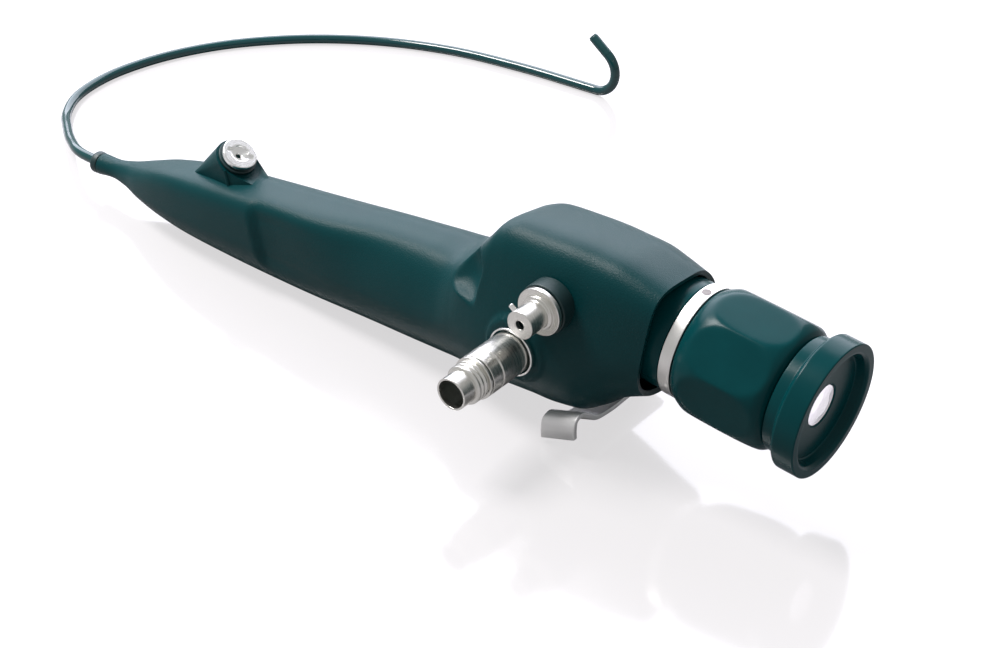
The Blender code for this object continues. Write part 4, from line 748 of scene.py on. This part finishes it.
def boss_rings():
    """Rings between the foot and the seat. At a share s of the way up, a ring's point is (1 - s) of the
    foot's corner plus s of the circle's point that faces the same way, which gives flat faces on the
    foot's sides and cones round its corners."""
    corners = np.array([(forward, across) for forward, across, _ in BOSS_FOOT])
    sides = np.roll(corners, -1, axis=0) - corners
    facing = np.arctan2(sides[:, 0], -sides[:, 1])
    feet, angles = [], []
    for number in range(len(corners)):
        turn = (facing[number] - facing[number - 1] + math.pi) % math.tau - math.pi
        for t in np.linspace(0, 1, BOSS_CORNER_STEPS):
            feet.append((*corners[number], BOSS_FOOT[number][2]))
            angles.append(facing[number - 1] + turn * t)
        following = (number + 1) % len(corners)
        for t in np.linspace(0, 1, BOSS_SIDE_STEPS)[1:-1]:
            sink = BOSS_FOOT[number][2] * (1 - t) + BOSS_FOOT[following][2] * t
            feet.append((*(corners[number] + sides[number] * t), sink))
            angles.append(facing[number])
    feet, angles = np.array(feet), np.array(angles)
    backs = PORT_BACK + feet[:, 0]
    low = at(backs, feet[:, 1], grip_top(backs) - feet[:, 2])
    seat_turn = np.array(port_place.to_3x3())
    circle = np.stack([-BOSS_RADIUS * np.cos(angles), BOSS_RADIUS * np.sin(angles),
                       np.full(len(angles), -BOSS_SEAT)], axis=1)
    high = circle @ seat_turn.T + np.array(port_place.translation)
    s = np.linspace(0, 1, BOSS_ROWS)[:, None, None]
    return low[None] * (1 - s) + high[None] * s


boss_grid = boss_rings()
boss = skin("port_boss_skin", boss_grid)
boss_bevel = boss.modifiers.new("soft_edges", "BEVEL")
boss_bevel.width = BOSS_SOFT_EDGE
boss_bevel.segments = 3
boss_bevel.angle_limit = math.radians(35)
dress(boss, moulded, "housing_plastic", "handle")
# The rib follows the boss's own line up the middle of the near corner's cone.
rib_column = RIB_CORNER * (BOSS_CORNER_STEPS + BOSS_SIDE_STEPS - 2) + BOSS_CORNER_STEPS // 2
boss_rib = skin("port_boss_rib", tube_rings(boss_grid[:, rib_column], RIB_RADIUS, 16, (1, 0, 0)))
dress(boss_rib, moulded, "housing_plastic", "handle")

# Nose ring: a soft black ring that seals the insertion tube where it leaves the housing.
NOSE_RING_RADIUS = 0.0030
NOSE_RING_WIDTH = 0.0022
NOSE_RING_BORE = 0.0017
rubber, nodes, links, shader = new_material("black_seal_rubber")
texture = use_group(nodes, links, grain, **{"Grain Size": 5000.0})
tint(nodes, links, shader, texture.outputs["Shade"], (0.0004, 0.014, 0.016), (0.0008, 0.024, 0.026))
shader.inputs["Roughness"].default_value = 0.5
bump(nodes, links, shader, texture.outputs["Height"], 0.00002)
nose_place = along(at(NOSE_BACK, 0, NOSE_HEIGHT), (1, 0, 0))
nose_ring = lathe("nose_ring_skin", [
    (NOSE_RING_BORE, 0), (NOSE_RING_RADIUS - 0.0003, 0), (NOSE_RING_RADIUS, 0.0005),
    (NOSE_RING_RADIUS, 0.0012), (NOSE_RING_RADIUS - 0.0002, NOSE_RING_WIDTH),
    (NOSE_RING_BORE, NOSE_RING_WIDTH)], nose_place, soft=0.0004)
dress(nose_ring, rubber, "black_rubber", "handle", "nose_ring")

# Bright metal parts are turned from stainless steel bar. Their fine rings follow the tool's path, so
# the pattern reads the distance along each piece's own profile.
lathe_marks, given, made = shader_group("lathe_marks", {"Along": 0.0, "Pitch": 9000.0}, ["Rings"])
ringing = lathe_marks.nodes.new("ShaderNodeTexNoise")
ringing.noise_dimensions = "1D"
ringing.inputs["Detail"].default_value = 4.0
ringing.inputs["Roughness"].default_value = 0.7
lathe_marks.links.new(given.outputs["Along"], ringing.inputs["W"])
lathe_marks.links.new(given.outputs["Pitch"], ringing.inputs["Scale"])
lathe_marks.links.new(ringing.outputs["Fac"], made.inputs["Rings"])


def turned_metal(name, dark, light, roughness, depth=0.000004, metallic=1.0):
    """Metal with lathe marks and handling smears. Its roughness runs with the rings, from a little below
    the one given to a little above it."""
    metal, nodes, links, shader = new_material(name)
    shader.inputs["Metallic"].default_value = metallic
    profile = nodes.new("ShaderNodeAttribute")
    profile.attribute_name = "along_profile"
    tooling = use_group(nodes, links, lathe_marks)
    links.new(profile.outputs["Fac"], tooling.inputs["Along"])
    marks = use_group(nodes, links, handling, **{"Smear Size": 220.0})
    tint(nodes, links, shader, marks.outputs["Smears"], dark, light)
    roughen(nodes, links, shader, tooling.outputs["Rings"], roughness - 0.08, roughness + 0.1)
    bump(nodes, links, shader, tooling.outputs["Rings"], depth)
    return metal


steel = turned_metal("turned_stainless", (0.64, 0.63, 0.6), (0.82, 0.81, 0.77), 0.26)
polished = turned_metal("polished_stainless", (0.9, 0.9, 0.89), (0.97, 0.97, 0.96), 0.2, 0.000001)

# Channel port: a socket of polished steel with a thick rounded rim, on a black sealing ring. Its mouth is
# a shallow cone that narrows to the fine channel, and has two bayonet notches.
PORT_RADIUS = 0.0045
PORT_LIP = 0.0014
PORT_BORE = 0.0023
PORT_BORE_DEPTH = 0.0005
PORT_STEM = 0.0035
PORT_STEM_LENGTH = 0.009
PORT_THROAT = 0.0006
PORT_CONE_DEPTH = 0.0014
PORT_NOTCH_WIDTH = 0.0016
PORT_NOTCH_DEPTH = 0.0007
PORT_NOTCH_TURN = math.radians(40)
PORT_GASKET_RADIUS = 0.0050
PORT_GASKET_BORE = 0.0038
PORT_GASKET_TOP = -0.0003
PORT_GASKET_FOOT = -0.0011
port = lathe("channel_port_skin", [
    (PORT_RADIUS, PORT_LIP), (PORT_RADIUS, 0), (PORT_STEM, 0), (PORT_STEM, -PORT_STEM_LENGTH),
    (PORT_THROAT, -PORT_STEM_LENGTH), (PORT_THROAT, PORT_LIP - PORT_CONE_DEPTH),
    (PORT_BORE, PORT_LIP - PORT_BORE_DEPTH), (PORT_BORE, PORT_LIP)], port_place, 128, soft=0.0003)
notch_place = port_place @ Matrix.Translation((0, 0, PORT_LIP)) @ Matrix.Rotation(PORT_NOTCH_TURN, 4, "Z")
cut_away(port, box_cutter("port_notches", 2 * PORT_STEM, PORT_NOTCH_WIDTH, 2 * PORT_NOTCH_DEPTH, notch_place))
dress(port, polished, "stainless_steel", "handle", "channel_port")
port_gasket = lathe("port_gasket_skin", band(PORT_GASKET_RADIUS, PORT_GASKET_BORE, PORT_GASKET_TOP,
                                             PORT_GASKET_FOOT), port_place, soft=0.0002)
dress(port_gasket, rubber, "black_rubber", "handle", "port_gasket")

# Light post: a turned steel barrel for the light cable, with a groove, three ridges of thread and a plain
# tip. A bright ring closes its seat, and the fibre bundle's ground face lies in its bore.
POST_RADIUS = 0.0052
POST_REACH = 0.041
POST_BORE = 0.0034
POST_LOW = 0.012
POST_TIP_RADIUS = 0.0039
POST_TIP_LENGTH = 0.004
THREAD_RADIUS = 0.0047
THREAD_PITCH = 0.0012
THREAD_RIDGES = 3
THREAD_DEPTH = 0.0004
POST_SHOULDER = 0.0001
POST_COLLAR = 0.0008
POST_JOINT = 0.0003
GROOVE_DEPTH = 0.0002
GROOVE_BACK = 0.0032
GROOVE_WIDTH = 0.0003
FOOT_STEP = 0.00012
FOOT_BACK = 0.0102
EDGE_SLOPE = 0.0001
FIBRE_DEPTH = 0.006
FIBRE_RADIUS = POST_BORE - 0.0001
POST_RING_RADIUS = 0.0060
POST_RING_BORE = 0.0055
POST_RING_LOW = 0.0192
POST_RING_HIGH = 0.0202
post_place = along(at(POST_BACK, 0, POST_HEIGHT), (0, -1, 0))
thread_low = POST_REACH - POST_TIP_LENGTH - THREAD_RIDGES * THREAD_PITCH
barrel_high = thread_low - POST_COLLAR - POST_JOINT
groove_radius = POST_RADIUS - GROOVE_DEPTH
groove_high = barrel_high - GROOVE_BACK - EDGE_SLOPE
groove_low = groove_high - GROOVE_WIDTH
foot_high = barrel_high - FOOT_BACK
barrel = lathe("light_post_skin", [
    (POST_BORE, barrel_high), (POST_RADIUS, barrel_high), (POST_RADIUS, groove_high + EDGE_SLOPE),
    (groove_radius, groove_high), (groove_radius, groove_low), (POST_RADIUS, groove_low - EDGE_SLOPE),
    (POST_RADIUS, foot_high), (POST_RADIUS - FOOT_STEP, foot_high - EDGE_SLOPE),
    (POST_RADIUS - FOOT_STEP, POST_LOW), (POST_BORE, POST_LOW)], post_place, 128, soft=0.0002)
dress(barrel, steel, "stainless_steel", "handle", "light_post")
thread = []
for ridge in range(THREAD_RIDGES, 0, -1):
    crest = thread_low + ridge * THREAD_PITCH
    thread += [(THREAD_RADIUS - THREAD_DEPTH, crest), (THREAD_RADIUS, crest - THREAD_PITCH / 3),
               (THREAD_RADIUS, crest - THREAD_PITCH * 2 / 3)]
collar = [(POST_RADIUS, thread_low - POST_SHOULDER), (POST_RADIUS, thread_low - POST_COLLAR),
          (POST_BORE, thread_low - POST_COLLAR)]
post_tip = lathe("light_post_tip_skin", [
    (POST_BORE, POST_REACH), (POST_TIP_RADIUS, POST_REACH), (POST_TIP_RADIUS, POST_REACH - POST_TIP_LENGTH)]
    + thread + [(THREAD_RADIUS - THREAD_DEPTH, thread_low)] + collar, post_place, 128, soft=0.00015)
dress(post_tip, steel, "stainless_steel", "handle", "light_post_tip")
post_ring = lathe("light_post_ring_skin", band(POST_RING_RADIUS, POST_RING_BORE, POST_RING_HIGH,
                                               POST_RING_LOW), post_place, 128, soft=0.0003)
dress(post_ring, polished, "stainless_steel", "handle", "light_post_ring")
fibre_face = lathe("light_fibre_face_skin", bar(FIBRE_RADIUS, POST_REACH - FIBRE_DEPTH, POST_LOW),
                   post_place, 64, closed=False)
fibres, nodes, links, shader = new_material("ground_fibre_face")
place = nodes.new("ShaderNodeTexCoord")
cells = nodes.new("ShaderNodeTexVoronoi")
cells.inputs["Scale"].default_value = 9000.0
links.new(place.outputs["Object"], cells.inputs["Vector"])
tint(nodes, links, shader, cells.outputs["Distance"], (0.03, 0.06, 0.05), (0.006, 0.012, 0.011))
shader.inputs["Roughness"].default_value = 0.3
dress(fibre_face, fibres, "optical_glass", "handle", "light_fibre_face")

# Venting connector: a steel flange and barrel with one bayonet pin, on a black gasket. A small black
# valve head shows in its mouth, and the leak tester's cap locks on the pin.
VENT_BACK = 0.0604
VENT_HEIGHT = 0.037
VENT_RADIUS = 0.0034
VENT_FACE = 0.0273
VENT_LOW = 0.0151
VENT_MOUTH = 0.0011
VENT_BORE = 0.0024
VENT_LIP = 0.0012
VENT_FLANGE = 0.0057
VENT_FLANGE_LOW = 0.0195
VENT_FLANGE_THICKNESS = 0.0012
VENT_STEP = 0.0007
VENT_STEP_HEIGHT = 0.0006
VENT_STEP_SLOPE = 0.0002
VENT_PIN_RADIUS = 0.00058
VENT_PIN_END = 0.0049
VENT_PIN_ROOT = 0.0027
VENT_PIN_BELOW_FACE = 0.0017
VENT_PIN_TILT = math.radians(38)
VENT_GASKET_RADIUS = 0.00605
VENT_GASKET_BORE = 0.0037
VENT_GASKET_HIGH = 0.0192
VENT_GASKET_LOW = 0.0150
vent_place = along(at(VENT_BACK, 0, VENT_HEIGHT), (0, -1, 0))
flange_high = VENT_FLANGE_LOW + VENT_FLANGE_THICKNESS
step_radius, step_high = VENT_RADIUS + VENT_STEP, flange_high + VENT_STEP_HEIGHT
vent = lathe("vent_connector_skin", [
    (VENT_MOUTH, VENT_FACE), (VENT_RADIUS, VENT_FACE), (VENT_RADIUS, step_high + VENT_STEP_SLOPE),
    (step_radius, step_high), (step_radius, flange_high), (VENT_FLANGE, flange_high),
    (VENT_FLANGE, VENT_FLANGE_LOW), (VENT_RADIUS, VENT_FLANGE_LOW), (VENT_RADIUS, VENT_LOW),
    (VENT_BORE, VENT_LOW), (VENT_BORE, VENT_FACE - VENT_LIP), (VENT_MOUTH, VENT_FACE - VENT_LIP)],
    vent_place, 128, soft=0.0002)
dress(vent, steel, "stainless_steel", "handle", "vent_connector")
pin_place = along(at(VENT_BACK, VENT_PIN_BELOW_FACE - VENT_FACE, VENT_HEIGHT),
                  (-math.cos(VENT_PIN_TILT), 0, math.sin(VENT_PIN_TILT)))
pin = lathe("vent_pin_skin", bar(VENT_PIN_RADIUS, VENT_PIN_END, VENT_PIN_ROOT), pin_place, 32, closed=False,
            soft=0.0003)
dress(pin, polished, "stainless_steel", "handle", "vent_pin")
vent_gasket = lathe("vent_gasket_skin", band(VENT_GASKET_RADIUS, VENT_GASKET_BORE, VENT_GASKET_HIGH,
                                             VENT_GASKET_LOW), vent_place, soft=0.0003)
dress(vent_gasket, rubber, "black_rubber", "handle", "vent_gasket")

# Valve spring: five turns of fine steel wire between the seat fixed in the barrel and the valve head, which
# presses it shorter. It is built once, at the imported spring's length, and stays fixed.
SPRING_RADIUS = 0.00155
SPRING_WIRE = 0.00022
SPRING_TURNS = 5
SPRING_STEPS = 32
spring_low, spring_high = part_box("vent_spring")
spring_start, spring_end = at(VENT_BACK, 0, VENT_HEIGHT), at(VENT_BACK, 0, VENT_HEIGHT)
spring_start[1], spring_end[1] = spring_high[1] - SPRING_WIRE, spring_low[1] + SPRING_WIRE
share = np.linspace(0, 1, SPRING_TURNS * SPRING_STEPS + 1)[:, None]
angle = share * SPRING_TURNS * math.tau
round_axis = SPRING_RADIUS * np.concatenate([np.cos(angle), 0 * angle, np.sin(angle)], axis=1)
coil = spring_start + (spring_end - spring_start) * share + round_axis
spring = skin("vent_spring_skin", tube_rings(coil, SPRING_WIRE, 10, (0, 1, 0)))
spring.data.materials.append(steel)
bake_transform(spring)
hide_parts("vent_spring")

# Eyepiece neck: a black sleeve that carries the index ring and the focusing ring, on the eyepiece's own
# tilted axis. Heights along that axis count from the eyepiece window, and are negative towards the head.
NECK_RADIUS = 0.0117
NECK_BORE = 0.0105
NECK_FACE = -0.0028
NECK_SHOULDER = -0.0340
NECK_BASE_RADIUS = 0.0130
NECK_BASE = -0.0450
NECK_FLOOR = -0.0430
GUIDE_HOLE_RADIUS = 0.0029
eye_place = along(at(0, 0, EYE_HEIGHT), (math.cos(EYE_TILT), 0, -math.sin(EYE_TILT)))
black, nodes, links, shader = new_material("satin_black_plastic")
marks = use_group(nodes, links, handling, **{"Smear Size": 90.0})
texture = use_group(nodes, links, grain, **{"Grain Size": 6000.0})
tint(nodes, links, shader, marks.outputs["Smears"], (0.0003, 0.03, 0.034), (0.0006, 0.046, 0.051))
roughen(nodes, links, shader, marks.outputs["Smears"], 0.2, 0.3)
shader.inputs["Specular IOR Level"].default_value = 0.1
bump(nodes, links, shader, texture.outputs["Height"], 0.000004)
neck = lathe("eyepiece_neck_skin", [
    (NECK_BORE, NECK_FACE), (NECK_RADIUS, NECK_FACE), (NECK_RADIUS, NECK_SHOULDER),
    (NECK_BASE_RADIUS, NECK_SHOULDER), (NECK_BASE_RADIUS, NECK_BASE), (GUIDE_HOLE_RADIUS, NECK_BASE),
    (GUIDE_HOLE_RADIUS, NECK_FLOOR), (NECK_BORE, NECK_FLOOR)], eye_place, 160, soft=0.0003)
dress(neck, black, "black_plastic", "handle", "eyepiece_neck")

# Index ring: a narrow turned ring of satin metal between the neck's shoulder and the focusing ring. One
# small round spot of grey paint lies on its top.
INDEX_RADIUS = 0.0134
INDEX_BORE = 0.0120
INDEX_NEAR = -0.0307
INDEX_FAR = -0.0337
MARK_RADIUS = 0.0011
MARK_RAISED = 0.00006
MARK_SUNK = -0.0003
MARK_AT = (-0.01338, 0, -0.0322)
satin = turned_metal("satin_metal_ring", (0.72, 0.71, 0.69), (0.86, 0.85, 0.83), 0.36)
index_ring = lathe("index_ring_skin", band(INDEX_RADIUS, INDEX_BORE, INDEX_NEAR, INDEX_FAR), eye_place, 192,
                   soft=0.0002)
dress(index_ring, satin, "satin_metal", "handle", "index_ring")
paint, nodes, links, shader = new_material("mark_paint")
marks = use_group(nodes, links, handling, **{"Smear Size": 700.0})
tint(nodes, links, shader, marks.outputs["Smears"], (0.14, 0.125, 0.125), (0.3, 0.27, 0.27))
shader.inputs["Roughness"].default_value = 0.5
index_mark = lathe("index_mark", bar(MARK_RADIUS, MARK_RAISED, MARK_SUNK),
                   eye_place @ along(MARK_AT, (-1, 0, 0)), 48, closed=False, soft=0.00003)
dress(index_mark, paint, "satin_metal", "handle")

# Focusing ring: a black grip ring that bulges towards its middle. Eight flats are milled round it, and
# their ends are the curves in which the bulge meets the flats.
FOCUS_BACK = 0.0304
FOCUS_FRONT = 0.0069
FOCUS_BORE = 0.012
FOCUS_END_RADIUS = 0.0132
FOCUS_BULGE = 0.0027
FOCUS_APOTHEM = 0.0147
FOCUS_FLATS = 8
FOCUS_TURN = math.radians(30)
FOCUS_EDGE_SOFTNESS = 0.00012
# Share of the bulge's height at shares of the ring's length, from the eyecup
FOCUS_SWELL = [(0.0, 0.0), (0.04, 0.38), (0.12, 0.72), (0.25, 0.93), (0.4, 1.0), (0.57, 0.98), (0.74, 0.86),
               (0.86, 0.62), (0.94, 0.32), (1.0, 0.0)]


def focus_rings(rows=110, sides=320):
    """Rings of the focusing ring, outside and bore. Outside, the radius is the softened smaller one of the
    bulge's, at that distance along the ring, and the flat's, which is the apothem over the cosine of the
    angle from the flat's middle."""
    share = np.linspace(0, 1, rows)[:, None]
    places, rises = np.array(FOCUS_SWELL).T
    bulge = FOCUS_END_RADIUS + FOCUS_BULGE * smooth_values(places, rises, share[:, 0])[:, None]
    angle = np.arange(sides)[None, :] * math.tau / sides
    pitch = math.tau / FOCUS_FLATS
    off_middle = (angle - FOCUS_TURN) % pitch - pitch / 2
    flat = FOCUS_APOTHEM / np.cos(off_middle)
    gap = (flat - bulge) / FOCUS_EDGE_SOFTNESS
    radius = bulge - FOCUS_EDGE_SOFTNESS * np.log1p(np.exp(np.clip(-gap, -40, 40)))
    height = -FOCUS_FRONT - (FOCUS_BACK - FOCUS_FRONT) * share
    outer = np.stack(np.broadcast_arrays(radius * np.cos(angle), radius * np.sin(angle), height), axis=-1)
    bore_x, bore_y = FOCUS_BORE * np.cos(angle), FOCUS_BORE * np.sin(angle)
    bore = np.stack(np.broadcast_arrays(bore_x, bore_y, height[::-1]), axis=-1)
    return np.concatenate([outer, bore[[0, rows // 2, -1]]])


eye_turn = np.array(eye_place.to_3x3())
focus = skin("focus_ring_skin", focus_rings() @ eye_turn.T + np.array(eye_place.translation), wrap=True)
dress(focus, black, "black_plastic", "focus_ring", "focus_ring")

# Eyecup: a black plastic cup on the neck's end, with the standard rim that camera couplers grip. The
# glass window lies in the middle of its floor.
EYECUP_RIM_RADIUS = 0.0159
EYECUP_FACE = 0.00265
EYECUP_RIM_LOW = -0.0026
EYECUP_SKIRT_RADIUS = 0.0135
EYECUP_SKIRT_LOW = -0.0066
EYECUP_SOCKET_RADIUS = 0.0120
EYECUP_SOCKET_HIGH = -0.0025
EYECUP_FLOOR_RADIUS = 0.0126
WINDOW_SEAT_RADIUS = 0.0051
WINDOW_SEAT_HIGH = -0.0003
WINDOW_RADIUS = 0.0048
WINDOW_LOW = -0.0022
WINDOW_DOME = 0.00055
eyecup = lathe("eyecup_skin", [
    (EYECUP_RIM_RADIUS, EYECUP_FACE), (EYECUP_RIM_RADIUS, EYECUP_RIM_LOW), (0.0153, -0.0032),
    (0.0137, -0.0038), (EYECUP_SKIRT_RADIUS, EYECUP_SKIRT_LOW), (EYECUP_SOCKET_RADIUS, EYECUP_SKIRT_LOW),
    (EYECUP_SOCKET_RADIUS, EYECUP_SOCKET_HIGH), (WINDOW_SEAT_RADIUS, EYECUP_SOCKET_HIGH),
    (WINDOW_SEAT_RADIUS, WINDOW_SEAT_HIGH), (EYECUP_FLOOR_RADIUS, 0.0), (0.0132, 0.0021),
    (0.0138, EYECUP_FACE)], eye_place, 192, soft=0.0003)
dress(eyecup, black, "black_plastic", "handle", "eyecup")
glass, nodes, links, shader = new_material("coated_glass_painted_glow")
marks = use_group(nodes, links, handling, **{"Smear Size": 400.0})
roughen(nodes, links, shader, marks.outputs["Smears"], 0.01, 0.05)
shader.inputs["Base Color"].default_value = (0.97, 0.95, 1.0, 1.0)
shader.inputs["Metallic"].default_value = 0.45
shader.inputs["Transmission Weight"].default_value = 1.0
shader.inputs["IOR"].default_value = 1.5
# Painted light: the glass glows weakly by itself, standing in for the table's light that the image guide
# carries to the window. The cell lens and the tip lens share this glow.
shader.inputs["Emission Color"].default_value = (1.0, 0.96, 1.0, 1.0)
shader.inputs["Emission Strength"].default_value = 0.2
window = lathe("eyepiece_window_skin", [
    (0, 0), (WINDOW_RADIUS / 2, -0.00013), (WINDOW_RADIUS, -WINDOW_DOME), (WINDOW_RADIUS, WINDOW_LOW),
    (0, WINDOW_LOW)], eye_place, 64, closed=False, soft=0.0001)
dress(window, glass, "optical_glass", "handle", "eyepiece_window")

# Thumb lever: one bent strip of satin steel with a round hub at its pivot. It runs down outside the far
# wall, turns under the head and ends in a curl for the thumb.
FAR_WALL = 0.0179
LEVER_CLEARANCE = 0.0003
LEVER_BACK = 0.0568
LEVER_HEIGHT = 0.0035
LEVER_WIDTH = 0.0100
LEVER_THICKNESS = 0.0013
LEVER_LEAN = math.radians(19)
LEVER_BEND = 0.0014
LEVER_SOFT_EDGE = 0.0004
ARM_START = 0.01
ARM_TURN_RUN = 0.01
HUB_RADIUS = 0.0062
HUB_THICKNESS = 0.0022
HUB_HOLE_RADIUS = 0.0018
arm_low = FAR_WALL + LEVER_CLEARANCE
arm_middle = arm_low + LEVER_THICKNESS / 2
arm_lean = math.atan2(PIVOT_BACK - LEVER_BACK, PIVOT_HEIGHT - LEVER_HEIGHT)


def arc(centre, radius, start, end, count):
    """Points of a circle in the strip's plane, from one angle to another."""
    angle = np.radians(np.linspace(start, end, count))
    return [(centre[0] + radius * math.cos(a), centre[1] + radius * math.sin(a)) for a in angle]


# Strip's middle line, across and above the table: down the arm, round the bend, then under the head to
# the curl
strip = [(arm_middle, height) for height in (PIVOT_HEIGHT, 0.0200, 0.0110, LEVER_HEIGHT + 0.0030,
                                             LEVER_HEIGHT + LEVER_BEND)]
strip += arc((arm_middle - LEVER_BEND, LEVER_HEIGHT + LEVER_BEND), LEVER_BEND, 0, -90, 9)[1:]
strip += [(0.0100, LEVER_HEIGHT), (0.0040, LEVER_HEIGHT), (-0.0040, LEVER_HEIGHT), (-0.0090, 0.0044),
          (-0.0125, 0.0068), (-0.0150, 0.0082), (-0.0166, 0.0077), (-0.0172, 0.0054), (-0.0171, 0.0029)]
strip_path = smooth_path([(0, across, height) for across, height in strip], 200)[:, 1:]
slope = np.gradient(strip_path, axis=0)
slope /= np.linalg.norm(slope, axis=1)[:, None]
edge = soften([(-LEVER_WIDTH / 2, -LEVER_THICKNESS / 2), (LEVER_WIDTH / 2, -LEVER_THICKNESS / 2),
               (LEVER_WIDTH / 2, LEVER_THICKNESS / 2), (-LEVER_WIDTH / 2, LEVER_THICKNESS / 2)],
              LEVER_SOFT_EDGE)
wide, thick = edge[None, :, 0], edge[None, :, 1]
# The arm leans towards the eyepiece on its way down. Up the arm the strip's width lies square to that
# lean, and below it at the curl's own lean.
up_arm = (strip_path[:, 0, None] > ARM_START) * (strip_path[:, 1, None] - LEVER_HEIGHT)
lean = LEVER_LEAN + (arm_lean - LEVER_LEAN) * ease(up_arm / ARM_TURN_RUN)
strip_across = strip_path[:, 0, None] - slope[:, 1, None] * thick
strip_height = strip_path[:, 1, None] + slope[:, 0, None] * thick - np.sin(lean) * wide
strip_back = LEVER_BACK + math.tan(arm_lean) * up_arm + np.cos(lean) * wide + 0 * thick
lever = skin("thumb_lever_strip", at(strip_back, strip_across, strip_height))
satin_sheet = turned_metal("satin_steel_sheet", (0.88, 0.88, 0.88), (0.97, 0.97, 0.97), 0.42, metallic=0.5)
dress(lever, satin_sheet, "satin_metal", "thumb_lever", "thumb_lever")
hub = lathe("thumb_lever_hub", band(HUB_RADIUS, HUB_HOLE_RADIUS, arm_low + HUB_THICKNESS, arm_low),
            pivot_place, soft=0.0004)
dress(hub, satin_sheet, "satin_metal", "thumb_lever")

# What lies inside, or shows only a little, keeps its solid and gets the finish of its real material.
machined_brass = turned_metal("machined_brass", (0.62, 0.45, 0.2), (0.78, 0.6, 0.3), 0.32)
for material, names in (
        (steel, ["tube_ferrule", "image_guide_ferrule", "steering_shaft", "upper_pull_wire",
                 "lower_pull_wire", "lever_screw"] + link_names),
        (satin, ["chassis", "steering_drum"]),
        (machined_brass, ["light_post_nut", "vent_spring_seat", "lens_cell", "shaft_bush", "wire_guide"]),
        (rubber, ["vent_poppet", "shaft_seal"]),
        (black, ["window_retainer"]),
        (glass, ["cell_lens", "tip_lens"])):
    for name in names:
        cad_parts[name].data.materials.clear()
        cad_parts[name].data.materials.append(material)
